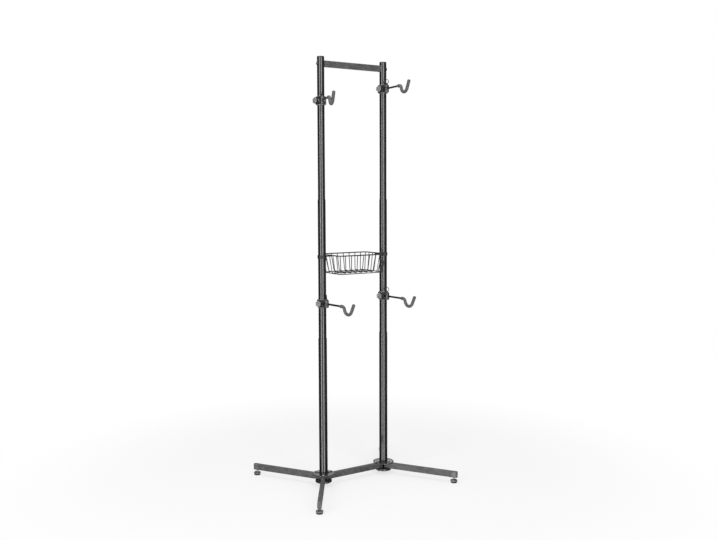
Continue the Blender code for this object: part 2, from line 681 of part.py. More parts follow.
def arm_rod_mesh():
    """Hinge eye and the round bar that carries the cradle, from the pin axis towards -Y."""
    half = EYE_HEIGHT / 2
    eye = drum("arm_rod", EYE_DIAMETER / 2, -half, half, 2 * PIN_SIDES)
    bar = lofted("arm_bar", [ring_about(point, ROD_DIAMETER / 2, ROD_SIDES) for point in arm_path()])
    hole = drum("eye_hole", bore(PIN_DIAMETER / 2, PIN_SIDES), -2 * half, 2 * half, PIN_SIDES)
    return combined(eye, [("UNION", bar), ("DIFFERENCE", hole)])


def hook_pad_mesh():
    """Rubber sleeve over the hooked end of the bar: swollen mouth, even wall, closed round tip."""
    inner = bore(ROD_DIAMETER / 2, ROD_SIDES)
    path = arm_path()[1:]
    mouth, tip = path[0], path[-1]
    loops = [
        ring_about(mouth, inner + PAD_WALL / 2, PAD_SIDES),
        ring_about(moved_on(mouth, PAD_LEAD / 3), PAD_RADIUS + PAD_START_SWELL, PAD_SIDES),
        ring_about(moved_on(mouth, PAD_LEAD), PAD_RADIUS, PAD_SIDES),
    ]
    loops += [ring_about(point, PAD_RADIUS, PAD_SIDES) for point in path[2:]]
    loops += [
        ring_about(moved_on(tip, PAD_END / 2), PAD_RADIUS * 0.9, PAD_SIDES),
        ring_about(moved_on(tip, PAD_END), PAD_RADIUS * 0.6, PAD_SIDES),
    ]
    sleeve = lofted("hook_pad", loops)
    way = [moved_on(mouth, -PAD_LEAD), *path[1:-1], moved_on(tip, TOUCH_GAP)]
    core = lofted("hook_way", [ring_about(point, inner, ROD_SIDES) for point in way])
    return combined(sleeve, [("DIFFERENCE", core)])


def make_brackets():
    """Four arm brackets, each liner, collar, clamp knob, hinge pin, rod and padded hook.

    The liners take up the step between the tubes, so that all four collars are alike.
    """
    liners = {"upper": liner_mesh(TOP_RADIUS), "lower": liner_mesh(MIDDLE_RADIUS)}
    collar = collar_mesh()
    knob = clamp_knob_mesh()
    pin = hinge_pin_mesh()
    rod = arm_rod_mesh()
    pad = hook_pad_mesh()
    for corner, height in ARM_HEIGHTS.items():
        level, side = corner.split("_")
        sign = -1 if side == "left" else 1
        post = empty(f"bracket_{corner}", (sign * POST_SPACING / 2, 0, height))
        place(f"arm_liner_{corner}", liners[level], "grey_nylon", parent=post)
        facing = (0, 0, math.radians(COLLAR_ANGLES[corner]))
        body = place(f"arm_collar_{corner}", collar, "charcoal_paint", (0, 0, 0), facing, post)
        seat = (-KNOB_SEAT * math.cos(KNOB_TURN), -KNOB_SEAT * math.sin(KNOB_TURN), 0)
        place(f"clamp_knob_{corner}", knob, "grey_nylon", seat, (0, -math.pi / 2, KNOB_TURN), body)
        hinge = (0, -HINGE_REACH, 0)
        place(f"hinge_pin_{corner}", pin, "zinc_steel", hinge, (0, 0, math.radians(RING_ANGLES[corner])), body)
        heading = (0, 0, math.radians(ARM_ANGLES[corner]))
        arm = place(f"arm_rod_{corner}", rod, "gloss_black_paint", hinge, heading, body)
        place(f"hook_pad_{corner}", pad, "grey_rubber", parent=arm)


# Basket

def bar_lines(length, gaps, wire):
    """Edges of evenly spaced bars across a length about 0: bar, gap, bar and so on."""
    pitch = (length - wire) / gaps
    lines = []
    for i in range(gaps + 1):
        centre = -length / 2 + wire / 2 + i * pitch
        lines += [centre - wire / 2, centre + wire / 2]
    return lines


def basket_mesh():
    """Wire basket as one lattice: floor grid, upright wires round the edge and a thicker rim.

    Space is divided by the edges of the wires into cells. A cell is solid where a wire runs,
    and the skin is every face between a solid cell and an empty one. The floor is then drawn
    in so that the four walls lean outwards to the rim. Height 0 is the top of the rim.
    """
    xs = bar_lines(BASKET_LENGTH, BASKET_GAPS_LONG, BASKET_WIRE)
    ys = bar_lines(BASKET_DEPTH, BASKET_GAPS_DEEP, BASKET_WIRE)
    zs = [-BASKET_HEIGHT, BASKET_WIRE - BASKET_HEIGHT, -BASKET_RIM_WIRE, 0.0]
    last_x, last_y = len(xs) - 2, len(ys) - 2

    def solid(i, j, k):
        if not (0 <= i <= last_x and 0 <= j <= last_y and 0 <= k <= 2):
            return False
        on_edge = i in (0, last_x) or j in (0, last_y)
        if k == 0:
            return i % 2 == 0 or j % 2 == 0
        if k == 1:
            return on_edge and i % 2 == 0 and j % 2 == 0
        return on_edge

    def corner(i, j, k):
        drop = max(0, -zs[k] - BASKET_RIM_WIRE) / (BASKET_HEIGHT - BASKET_RIM_WIRE)
        x_share = 1 + drop * (BASKET_BOTTOM_LENGTH / BASKET_LENGTH - 1)
        y_share = 1 + drop * (BASKET_BOTTOM_DEPTH / BASKET_DEPTH - 1)
        return (xs[i] * x_share, ys[j] * y_share, zs[k])

    bm = bmesh.new()
    verts = {}

    def vert(i, j, k):
        if (i, j, k) not in verts:
            verts[i, j, k] = bm.verts.new(corner(i, j, k))
        return verts[i, j, k]

    sides = (
        ((1, 0, 0), ((1, 0, 0), (1, 1, 0), (1, 1, 1), (1, 0, 1))),
        ((-1, 0, 0), ((0, 0, 0), (0, 0, 1), (0, 1, 1), (0, 1, 0))),
        ((0, 1, 0), ((0, 1, 0), (0, 1, 1), (1, 1, 1), (1, 1, 0))),
        ((0, -1, 0), ((0, 0, 0), (1, 0, 0), (1, 0, 1), (0, 0, 1))),
        ((0, 0, 1), ((0, 0, 1), (1, 0, 1), (1, 1, 1), (0, 1, 1))),
        ((0, 0, -1), ((0, 0, 0), (0, 1, 0), (1, 1, 0), (1, 0, 0))),
    )
    for i in range(last_x + 1):
        for j in range(last_y + 1):
            for k in range(3):
                if not solid(i, j, k):
                    continue
                for (di, dj, dk), corners in sides:
                    if not solid(i + di, j + dj, k + dk):
                        bm.faces.new([vert(i + a, j + b, k + c) for a, b, c in corners])
    return finished_mesh(bm, "basket")


def hanger_mesh():
    """Fixed clamp ring on a post, with a forked seat towards +X that the basket's rim drops into."""
    hole = bore(MIDDLE_RADIUS, POST_SIDES)
    rim_inner = POST_SPACING / 2 - BASKET_LENGTH / 2
    rim_outer = rim_inner + BASKET_WIRE
    seat = -BASKET_RIM_WIRE - TOUCH_GAP
    top = seat + HANGER_SEAT_DEPTH
    clear_top = top + HANGER_LIP
    half_width = HANGER_FORK_WIDTH / 2
    side_gap = 2 * TOUCH_GAP
    ring = drum("basket_hanger", hole + HANGER_WALL, top - HANGER_HEIGHT, top, POST_SIDES)
    fork_end = rim_outer + HANGER_LIP
    fork = box("hanger_fork", (0, -half_width, top - HANGER_HEIGHT / 2), (fork_end, half_width, top))
    slot_start = rim_inner - side_gap
    slot_end = rim_outer + side_gap
    rim_slot = box("hanger_rim_slot", (slot_start, -2 * hole, seat), (slot_end, 2 * hole, clear_top))
    cuts = [("DIFFERENCE", rim_slot)]
    lines = bar_lines(BASKET_DEPTH, BASKET_GAPS_DEEP, BASKET_WIRE)
    for low, high in zip(lines[::2], lines[1::2]):
        if high + side_gap > -half_width and low - side_gap < half_width:
            notch_low = (slot_start, low - side_gap, top - HANGER_HEIGHT)
            notch_high = (fork_end + HANGER_LIP, high + side_gap, clear_top)
            cuts.append(("DIFFERENCE", box("hanger_wire_notch", notch_low, notch_high)))
    post_way = drum("hanger_way", hole, -2 * HANGER_HEIGHT, 2 * HANGER_HEIGHT, POST_SIDES)
    cuts.append(("DIFFERENCE", post_way))
    return combined(ring, [("UNION", fork), *cuts])


def make_basket():
    """Basket hung by its end rims from a hanger on each post."""
    hanger = hanger_mesh()
    half = POST_SPACING / 2
    place("basket_hanger_left", hanger, "gloss_black_paint", (-half, 0, BASKET_RIM_HEIGHT))
    place("basket_hanger_right", hanger, "gloss_black_paint", (half, 0, BASKET_RIM_HEIGHT), (0, 0, math.pi))
    place("basket", basket_mesh(), "black_wire", (0, 0, BASKET_RIM_HEIGHT))


def main():
    clear_scene()
    make_base()
    make_posts()
    make_brackets()
    make_basket()


main()
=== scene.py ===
import json
import math

import bpy
import numpy as np
from mathutils import Matrix, Vector


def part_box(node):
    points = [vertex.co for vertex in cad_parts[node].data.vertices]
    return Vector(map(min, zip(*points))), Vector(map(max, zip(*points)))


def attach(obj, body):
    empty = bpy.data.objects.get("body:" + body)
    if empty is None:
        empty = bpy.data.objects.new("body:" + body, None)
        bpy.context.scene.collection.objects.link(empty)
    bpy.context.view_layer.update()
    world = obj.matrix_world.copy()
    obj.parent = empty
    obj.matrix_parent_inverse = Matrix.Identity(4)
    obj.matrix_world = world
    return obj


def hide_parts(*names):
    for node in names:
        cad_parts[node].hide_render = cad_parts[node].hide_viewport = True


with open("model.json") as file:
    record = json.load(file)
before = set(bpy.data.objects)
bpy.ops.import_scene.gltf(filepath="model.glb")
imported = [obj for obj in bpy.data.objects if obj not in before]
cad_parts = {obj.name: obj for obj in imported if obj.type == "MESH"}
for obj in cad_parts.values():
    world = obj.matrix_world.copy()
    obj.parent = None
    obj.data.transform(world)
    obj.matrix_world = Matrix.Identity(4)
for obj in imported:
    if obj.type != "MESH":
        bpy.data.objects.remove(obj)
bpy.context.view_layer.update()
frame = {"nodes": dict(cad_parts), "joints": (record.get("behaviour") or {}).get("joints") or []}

CORNERS = ("upper_left", "upper_right", "lower_left", "lower_right")
FEET = ("front_left", "back_left", "front_right", "back_right")
SIDES = ("left", "right")

# Sizes that the CAD has too, in metres
GAP = 0.0003
RUNNING_CLEARANCE = 0.00015
POST_SIDES = 16
POST_WALL = 0.0015
FOOT_RADIUS = 0.021
MIDDLE_RADIUS = FOOT_RADIUS - POST_WALL - GAP
TOP_RADIUS = MIDDLE_RADIUS - POST_WALL - GAP
POST_CAP_THICKNESS = 0.003
TUBE_WIDTH = 0.020
TUBE_HEIGHT = 0.030
TUBE_WALL = 0.0015
LEG_CAP_LENGTH = 0.028
LEG_CAP_PLUG = 0.022
HUB_SPIGOT_HEIGHT = 0.045
HUB_SPIGOT_WALL = 0.002
HUB_BASE_CHAMFER = 0.0025
HUB_CENTRE_RADIUS = 0.006
GLIDE_THICKNESS = 0.004
GLIDE_PIP_RADIUS = 0.003
GLIDE_PIP_HEIGHT = 0.004
FOOT_KNOB_HEIGHT = 0.012
STUD_RADIUS = 0.004
STUD_SHOWING = 0.011
STUD_ENGAGED = 0.018
BAR_BOLT_RADIUS = 0.004
BAR_BOLT_HEAD_RADIUS = 0.0085
BAR_BOLT_HEAD_HEIGHT = 0.004
LINER_WALL = 0.0016
LINER_FLANGE = 0.002
LINER_FLANGE_THICKNESS = 0.0025
LINER_SPLIT = 0.004
COLLAR_WALL = 0.004
COLLAR_HEIGHT = 0.036
SWING_CLEARANCE = 0.0018
EYE_RADIUS = 0.011
EYE_HEIGHT = 0.0115
PIN_RADIUS = 0.004
PIN_FLANGE_RADIUS = 0.007
PIN_FLANGE_THICKNESS = 0.003
PIN_NECK_HEIGHT = 0.0065
PIN_TAIL = 0.002
RING_RADIUS = 0.0095
KNOB_RADIUS = 0.015
KNOB_THICKNESS = 0.011
KNOB_SCREW_RADIUS = 0.003
KNOB_BOSS_RADIUS = 0.0075
KNOB_BOSS_HEIGHT = 0.002
ROD_RADIUS = 0.005
ROD_STRAIGHT = 0.128
ROD_DIP_RADIUS = 0.017
ROD_DIP_ANGLE = math.radians(75)
CRADLE_RADIUS = 0.0295
CRADLE_TIP_ANGLE = math.radians(62)
CRADLE_TIP_LENGTH = 0.038
PAD_WALL = 0.0027
PAD_START_SWELL = 0.001
PAD_LEAD = 0.012
PAD_END = 0.004
BASKET_LENGTH = 0.286
BASKET_DEPTH = 0.206
BASKET_HEIGHT = 0.095
BASKET_BOTTOM_LENGTH = 0.252
BASKET_BOTTOM_DEPTH = 0.174
BASKET_GAPS_LONG = 8
BASKET_GAPS_DEEP = 6
FACETS = math.cos(math.pi / POST_SIDES)
LINER_RADIUS = (MIDDLE_RADIUS + RUNNING_CLEARANCE) / FACETS + LINER_WALL
COLLAR_RADIUS = (LINER_RADIUS + RUNNING_CLEARANCE) / FACETS + COLLAR_WALL
KNOB_SEAT = COLLAR_RADIUS + KNOB_BOSS_HEIGHT

# Sizes that only the looks have
ROUND_SIDES = 64
TURNED_SIDES = 40
BORE_SIDES = 32
BAR_SIDES = 24
THREAD_RINGS = 8
WIRE_SIDES = 10
NEAR_AXIS = 1e-5
BORE_EASE = 0.0002
COLLAR_BORE = LINER_RADIUS + BORE_EASE
PAD_BORE = ROD_RADIUS + BORE_EASE
SPIGOT_RADIUS = FOOT_RADIUS - POST_WALL - 0.0004
TUBE_CORNER = 0.0028
TUBE_LIP = 0.0003
LEG_CAP_NOSE = 0.0055
LEG_CAP_EDGE = 0.0016
LEG_PLUG_CORNER = 0.0012
TOP_BAR_CORNER = 0.0026
TOP_BAR_EDGE = 0.0002
TOP_BAR_EASE = 0.0001
POST_CAP_CROWN = 0.0004
FOOT_GRIP_RADIUS = 0.0187
FOOT_GRIP_HOLLOW = 0.0018
CLAMP_GRIP_HOLLOW = 0.0021
GRIP_LOBES = 6
STUD_PITCH = 0.00125
STUD_THREAD = 0.0006
FINE_PITCH = 0.001
BOLT_THREAD = 0.0003
SCREW_THREAD = 0.0004
HUB_BOLT_INNER = 0.030
HUB_BOLT_OUTER = 0.0445
HUB_BOLT_RADIUS = 0.003
HUB_BOLT_HEAD_RADIUS = 0.0058
HUB_BOLT_HEAD_HEIGHT = 0.005
HUB_BOLT_END = 0.0005
HEX_EDGE = 0.0004
BAR_SOCKET_RADIUS = 0.0029
BAR_SOCKET_DEPTH = 0.0022
EYE_EDGE = 0.0008
COLLAR_EDGE = 0.0012
COLLAR_BEVEL = 0.0005
BOSS_EDGE = 0.0006
RING_WIRE_RADIUS = 0.00165
RING_LEVEL = COLLAR_HEIGHT / 2 + 0.012
ROD_TIP_DEPTH = 0.004
BASKET_RIM_RADIUS = 0.003
BASKET_WIRE_RADIUS = 0.002
BASKET_LOOP_RADIUS = 0.0023
BASKET_CORNER = 0.020
BASKET_LOOP_CORNER = 0.016
BASKET_FLOOR_BEND = 0.010


# Shells: a shell is a surface as (points, four-sided faces, three-sided faces)

def volume(points, triangles):
    """Signed volume: a sixth of the sum of each triangle's corners' triple product."""
    a, b, c = (points[triangles[:, k]] for k in range(3))
    return float(np.einsum("ij,ij->i", a, np.cross(b, c)).sum() / 6)


def grid_faces(rows, across, wrapped=True, closed=False):
    """Faces of a grid: points j and j + 1 of row i with the same two of row i + 1.

    A wrapped grid joins each row's last point to its first, and a closed one its last row to its
    first.
    """
    i = np.arange(rows if closed else rows - 1)[:, None] * across
    j = np.arange(across if wrapped else across - 1)[None, :]
    k = (j + 1) % across
    above = (i + across) % (rows * across)
    return np.stack([i + j, i + k, above + k, above + j], -1).reshape(-1, 4)


def sheet(grid, wrapped):
    """Open surface through a grid of points, an array of (rows, points across, 3)."""
    return grid.reshape(-1, 3), grid_faces(*grid.shape[:2], wrapped), np.zeros((0, 3), int)


def stack(rings, closed=False):
    """Closed surface through a stack of rings, an array of (rings, points round, 3).

    A closed stack joins its last ring to its first, and an open one is capped by a fan about each
    end ring's mean point. All faces are turned over where the volume comes out below zero.
    """
    rings = np.asarray(rings, float)
    count, around = rings.shape[:2]
    quads = grid_faces(count, around, closed=closed)
    points, triangles = rings.reshape(-1, 3), np.zeros((0, 3), int)
    if not closed:
        total = count * around
        points = np.vstack([points, rings[0].mean(0), rings[-1].mean(0)])
        j = np.arange(around)
        k = (j + 1) % around
        first = np.stack([k, j, np.full(around, total)], 1)
        last = np.stack([total - around + j, total - around + k, np.full(around, total + 1)], 1)
        triangles = np.vstack([first, last])
    halves = np.vstack([quads[:, [0, 1, 2]], quads[:, [0, 2, 3]], triangles])
    if volume(points - points.mean(0), halves) < 0:
        quads, triangles = quads[:, ::-1], triangles[:, ::-1]
    return points, quads, triangles


def unit(vectors):
    """Rows of an array, each divided by its length."""
    return vectors / np.linalg.norm(vectors, axis=1, keepdims=True)


def bent(points, radii, steps, closed=True):
    """Line in two or three dimensions whose corners are arcs. An open one keeps its two ends.

    At each corner the arc's centre stands on the bisector at radius / sin(half angle), and the
    arc's points are the spherical blend between its two tangent points about that centre.
    """
    points = np.asarray(points, float)
    radii = np.broadcast_to(np.asarray(radii, float), (len(points),))[:, None]
    before, after = np.roll(points, 1, 0), np.roll(points, -1, 0)
    first, last = points[:1], points[-1:]
    if not closed:
        points, radii, before, after = (rows[1:-1] for rows in (points, radii, before, after))
    back, ahead = unit(before - points), unit(after - points)
    half = np.arccos(np.clip((back * ahead).sum(1, keepdims=True), -1, 1)) / 2
    centre = points + unit(back + ahead) * radii / np.sin(half)
    start = (points + back * radii / np.tan(half) - centre)[:, None]
    end = (points + ahead * radii / np.tan(half) - centre)[:, None]
    sweep = (math.pi - 2 * half)[:, None]
    share = np.linspace(0, 1, steps + 1)[None, :, None]
    arc = (start * np.sin((1 - share) * sweep) + end * np.sin(share * sweep)) / np.sin(sweep)
    line = (arc + centre[:, None]).reshape(-1, points.shape[1])
    return line if closed else np.vstack([first, line, last])


def rounded(rows, steps, closed=True):
    """Profile from rows of (x, y, rounding), each corner an arc of its own rounding."""
    rows = np.asarray(rows, float)
    return bent(rows[:, :2], rows[:, 2], steps, closed)


def rectangle(half_x, half_y, corner, steps):
    """Rounded rectangle about the origin, from its half sizes."""
    return bent(np.array([[1, 1], [-1, 1], [-1, -1], [1, -1]]) * [half_x, half_y], corner, steps)


def angles(sides):
    """Angles evenly spaced round a turn."""
    return np.linspace(0, math.tau, sides, endpoint=False)


def circle(radius, sides):
    """Points (radius cos t, radius sin t)."""
    t = angles(sides)
    return radius * np.stack([np.cos(t), np.sin(t)], 1)


def about_z(reach, height, t):
    """Points (reach cos t, reach sin t, height) on the grid that the three span."""
    return np.stack(np.broadcast_arrays(reach * np.cos(t), reach * np.sin(t), height), -1)


def turned(rows, sides, steps=3):
    """Solid turned about Z from rows of (radius, height, rounding) that start and end at the axis."""
    profile = rounded(rows, steps, closed=False)
    profile[[0, -1], 0] = NEAR_AXIS
    return stack(about_z(profile[:, :1], profile[:, 1:], angles(sides)))


def washer(rows):
    """Ring turned about Z from a closed profile of (radius, height, rounding)."""
    profile = rounded(rows, 3)
    return stack(about_z(profile[:, :1], profile[:, 1:], angles(ROUND_SIDES)), closed=True)


def directions(path, closed):
    """Unit tangent at each point of a path: the difference of its neighbours."""
    if closed:
        return unit(np.roll(path, -1, 0) - np.roll(path, 1, 0))
    return unit(np.gradient(path, axis=0))


def rings_along(path, radius, sides, across, closed=False):
    """Circles square to a path: centre + radius (cos t side + sin t lift), side being the part of
    'across' that is square to the tangent, and lift their cross product."""
    path = np.asarray(path, float)
    tangent = directions(path, closed)
    across = np.broadcast_to(np.asarray(across, float), path.shape)
    side = unit(across - (across * tangent).sum(1, keepdims=True) * tangent)
    lift = np.cross(tangent, side)
    radii = np.broadcast_to(np.asarray(radius, float), (len(path),))[:, None, None]
    reach = circle(1.0, sides)[None] * radii
    return path[:, None] + reach[..., :1] * side[:, None] + reach[..., 1:] * lift[:, None]


def swept(path, radius, sides, across, closed=False):
    """Round bar or wire along a path."""
    return stack(rings_along(path, radius, sides, across, closed), closed)


def prism(outline, heights, insets=(0, 0)):
    """Outline of (x, y) points at several heights, moved in along its own normals by the insets."""
    outline = np.asarray(outline, float)
    along = np.roll(outline, -1, 0) - np.roll(outline, 1, 0)
    inward = unit(np.stack([-along[:, 1], along[:, 0]], 1))
    rings = outline[None] + inward[None] * np.asarray(insets, float)[:, None, None]
    height = np.broadcast_to(np.asarray(heights, float)[:, None, None], rings[..., :1].shape)
    return stack(np.concatenate([rings, height], -1))


def slab(outline, low, high, edge, steps=3):
    """Prism whose two rims are quarter rounds: edge (1 - sin t) from its face, and edge (1 - cos t)
    from its side."""
    t = np.linspace(0, math.pi / 2, steps + 1)
    depth, inset = edge * (1 - np.sin(t)), edge * (1 - np.cos(t))
    heights = np.concatenate([low + depth[::-1], high - depth])
    return prism(outline, heights, np.concatenate([inset[::-1], inset]))


def along_x(x, outline):
    """Outline of (y, z) points at one place along X, or each point at its own."""
    return np.column_stack([np.broadcast_to(x, (len(outline),)), outline])


def moved(shell, matrix):
    """Shell whose points are turned and shifted by a 4 x 4 matrix."""
    points, quads, triangles = shell
    return points @ matrix[:3, :3].T + matrix[:3, 3], quads, triangles


def shift(x=0.0, y=0.0, z=0.0):
    """Matrix of a shift."""
    matrix = np.eye(4)
    matrix[:3, 3] = x, y, z
    return matrix


def turn(angle, axis="z"):
    """Matrix of a rotation about one of the three axes."""
    a, b = {"x": (1, 2), "y": (2, 0), "z": (0, 1)}[axis]
    matrix = np.eye(4)
    matrix[a, a] = matrix[b, b] = math.cos(angle)
    matrix[b, a], matrix[a, b] = math.sin(angle), -math.sin(angle)
    return matrix


def mesh_of(name, shells):
    """One mesh of several shells, filled from whole arrays."""
    mesh = bpy.data.meshes.new(name)
    offsets = np.cumsum([0] + [len(shell[0]) for shell in shells])
    points = np.vstack([shell[0] for shell in shells])
    quads = np.vstack([shell[1] + start for shell, start in zip(shells, offsets)])
    triangles = np.vstack([shell[2] + start for shell, start in zip(shells, offsets)])
    loops = np.concatenate([quads.ravel(), triangles.ravel()]).astype(np.int32)
    sizes = np.concatenate([np.full(len(quads), 4), np.full(len(triangles), 3)])
    starts = np.concatenate([[0], np.cumsum(sizes)[:-1]]).astype(np.int32)
    mesh.vertices.add(len(points))
    mesh.vertices.foreach_set("co", points.astype(np.float32).ravel())
    mesh.loops.add(len(loops))
    mesh.loops.foreach_set("vertex_index", loops)
    mesh.polygons.add(len(sizes))
    mesh.polygons.foreach_set("loop_start", starts)
    mesh.update(calc_edges=True)
    mesh.validate()
    return mesh


def linked(name, data):
    """Object of some data, linked to the scene."""
    obj = bpy.data.objects.new(name, data)
    bpy.context.scene.collection.objects.link(obj)
    return obj


def carved(name, target, steps):
    """Mesh of a shell after exact Booleans, each a pair of an operation and a shell."""
    base = linked(name, mesh_of(name, [target]))
    used = [base]
    for operation, shell in steps:
        tool = linked(f"{name}_tool", mesh_of(f"{name}_tool", [shell]))
        used.append(tool)
        modifier = base.modifiers.new("step", "BOOLEAN")
        modifier.operation = operation
        modifier.solver = "EXACT"
        modifier.object = tool
    graph = bpy.context.evaluated_depsgraph_get()
    mesh = bpy.data.meshes.new_from_object(base.evaluated_get(graph))
    for obj in used:
        bpy.data.objects.remove(obj, do_unlink=True)
    return mesh


def piece(name, shape, at, finish, body, replaces="", bevel=0.0):
    """Finished piece: a mesh or shells put in place, with its material, body and the CAD node that it
    stands for."""
    if isinstance(shape, bpy.types.Mesh):
        mesh = shape.copy()
        mesh.transform(Matrix(at.tolist()))
        mesh.name = name
    else:
        mesh = mesh_of(name, [moved(shell, at) for shell in shape])
    obj = linked(name, mesh)
    mesh.materials.clear()
    mesh.materials.append(finish)
    smooth = math.radians(35)
    mesh.shade_smooth()
    mesh.set_sharp_from_angle(angle=smooth)
    if bevel:
        edge = obj.modifiers.new("edge", "BEVEL")
        edge.width = bevel
        edge.segments = 2
        edge.limit_method = "ANGLE"
        edge.angle_limit = smooth
    flat = obj.modifiers.new("flat_faces", "WEIGHTED_NORMAL")
    flat.keep_sharp = True
    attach(obj, body)
    if replaces:
        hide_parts(replaces)


# The frame

def middle_of(node):
    """Middle of a CAD node's box at rest."""
    low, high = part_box(node)
    return (np.array(low) + np.array(high)) / 2


def points_of(node):
    """Corner points of a CAD node at rest, as an array."""
    mesh = frame["nodes"][node].data
    points = np.zeros(len(mesh.vertices) * 3, np.float32)
    mesh.vertices.foreach_get("co", points)
    return points.reshape(-1, 3).astype(float)


def joint(name, key):
    """Place ("pos_m") or direction ("axis") of a joint at rest."""
    return np.array(next(found[key] for found in frame["joints"] if found["name"] == name), float)


# Materials

def put(tree, kind, sockets=(), **settings):
    """Shader node of a kind, each socket given a value or linked to another node's output."""
    made = tree.nodes.new(kind)
    for key, value in settings.items():
        setattr(made, key, value)
    for key, value in dict(sockets).items():
        if isinstance(value, bpy.types.NodeSocket):
            tree.links.new(value, made.inputs[key])
        else:
            made.inputs[key].default_value = value
    return made


def even_finish(name, colour, roughness, metallic=0.0, specular=0.5, coat=0.0, coat_roughness=0.1):
    """Principled material with its even values on the shader's own sockets."""
    made = bpy.data.materials.new(name)
    made.use_nodes = True
    made.diffuse_color = (*colour, 1.0)
    values = {
        "Base Color": (*colour, 1.0), "Roughness": roughness, "Metallic": metallic,
        "Specular IOR Level": specular, "Coat Weight": coat, "Coat Roughness": coat_roughness,
    }
    for socket, value in values.items():
        made.node_tree.nodes["Principled BSDF"].inputs[socket].default_value = value
    return made


def grain(tree, scale, detail, stretch=(1, 1, 1)):
    """Noise on the piece's own coordinates, stretched along its axes."""
    place = put(tree, "ShaderNodeTexCoord").outputs["Object"]
    mapping = put(tree, "ShaderNodeMapping", {"Vector": place, "Scale": stretch})
    noise = {"Vector": mapping.outputs["Vector"], "Scale": scale, "Detail": detail}
    return put(tree, "ShaderNodeTexNoise", noise).outputs[0]


def clouds(tree, scale, detail, low, high):
    """Value between low and high as noise of a scale and detail runs from 0.3 to 0.7."""
    return put(tree, "ShaderNodeMapRange", {
        "Value": grain(tree, scale, detail), "From Min": 0.3, "From Max": 0.7, "To Min": low, "To Max": high,
    }).outputs["Result"]


def finish(name, colour, roughness, tint, sheen, bumps, **sockets):
    """Material with clouds of colour, clouds of roughness and fine bumps.

    The tint is (scale, detail, dark, light), the sheen (scale, detail, lowest, highest), and each
    bump (scale, detail, strength, distance), with a stretch along the three axes at its end if any.
    """
    made = even_finish(name, colour, roughness, **sockets)
    tree = made.node_tree
    shader = tree.nodes["Principled BSDF"]
    scale, detail, dark, light = tint
    mix = put(tree, "ShaderNodeMix", {
        0: clouds(tree, scale, detail, 0, 1), 6: (*dark, 1.0), 7: (*light, 1.0),
    }, data_type="RGBA")
    tree.links.new(mix.outputs[2], shader.inputs["Base Color"])
    tree.links.new(clouds(tree, *sheen), shader.inputs["Roughness"])
    normal = {}
    for scale, detail, strength, distance, *stretch in bumps:
        height = grain(tree, scale, detail, *stretch)
        bump = put(tree, "ShaderNodeBump", {
            "Height": height, "Strength": strength, "Distance": distance, **normal,
        })
        normal = {"Normal": bump.outputs["Normal"]}
    tree.links.new(normal["Normal"], shader.inputs["Normal"])
    return made


def gloss_black_paint():
    """Sprayed gloss black: orange peel about 3 mm across, soft cloudy gloss and faint dust."""
    return finish(
        "gloss_black_paint", (0.018, 0.018, 0.020), 0.15, specular=0.2, coat=1.0, coat_roughness=0.09,
        tint=(7, 5, (0.012, 0.012, 0.014), (0.021, 0.021, 0.023)), sheen=(24, 6, 0.11, 0.20),
        bumps=[(330, 2, 0.05, 0.0004), (2600, 2, 0.03, 0.0001)],
    )


def charcoal_paint():
    """Satin charcoal powder coat: fine dimples under a millimetre, and slightly uneven sheen."""
    return finish(
        "charcoal_paint", (0.078, 0.078, 0.082), 0.44,
        tint=(34, 6, (0.058, 0.058, 0.061), (0.100, 0.100, 0.105)), sheen=(60, 5, 0.42, 0.60),
        bumps=[(1300, 2, 0.24, 0.0002), (200, 3, 0.16, 0.0004)],
    )


def cast_black():
    """Painted casting: gloss black over a slightly pebbled skin, lighter and darker in random clouds."""
    return finish(
        "cast_black", (0.030, 0.030, 0.032), 0.24, specular=0.6,
        tint=(60, 5, (0.020, 0.020, 0.022), (0.050, 0.050, 0.053)), sheen=(90, 5, 0.17, 0.34),
        bumps=[(420, 3, 0.20, 0.0004)],
    )


def zinc_plate():
    """Dull zinc: cloudy passivation, a slight warm cast, and fine turning marks."""
    return finish(
        "zinc_plate", (0.50, 0.50, 0.50), 0.24, metallic=1.0,
        tint=(90, 4, (0.42, 0.43, 0.44), (0.60, 0.59, 0.56)), sheen=(220, 4, 0.16, 0.34),
        bumps=[(900, 2, 0.10, 0.0001, (1, 1, 4))],
    )


def blackened_steel():
    """Oil-blacked steel of the pins, rings and bar bolts: close dark sheen, thinner where it rubs."""
    return finish(
        "blackened_steel", (0.045, 0.045, 0.047), 0.30, metallic=1.0,
        tint=(140, 4, (0.030, 0.030, 0.032), (0.070, 0.070, 0.072)), sheen=(260, 4, 0.22, 0.40),
        bumps=[(1100, 2, 0.08, 0.0001, (1, 1, 4))],
    )


def black_nylon():
    """Moulded black nylon with a spark-eroded skin."""
    return finish(
        "black_nylon", (0.028, 0.028, 0.030), 0.50,
        tint=(30, 4, (0.024, 0.024, 0.026), (0.036, 0.036, 0.038)), sheen=(120, 3, 0.42, 0.56),
        bumps=[(1900, 2, 0.30, 0.0002)],
    )


def nylon_painted_highlight():
    """Moulded black nylon of the leg ends and foot knobs, coloured dark grey as a painted highlight: fine
    skin with a soft shine.
    """
    return finish(
        "nylon_painted_highlight", (0.115, 0.116, 0.120), 0.36, specular=0.55,
        tint=(55, 5, (0.085, 0.086, 0.090), (0.150, 0.151, 0.155)), sheen=(130, 4, 0.28, 0.46),
        bumps=[(1800, 2, 0.22, 0.0002)],
    )


def grey_nylon():
    """Moulded grey nylon: satin, a little mottled."""
    return finish(
        "grey_nylon", (0.24, 0.245, 0.25), 0.38,
        tint=(60, 5, (0.19, 0.195, 0.20), (0.29, 0.295, 0.30)), sheen=(150, 4, 0.30, 0.48),
        bumps=[(1700, 2, 0.22, 0.0002)],
    )


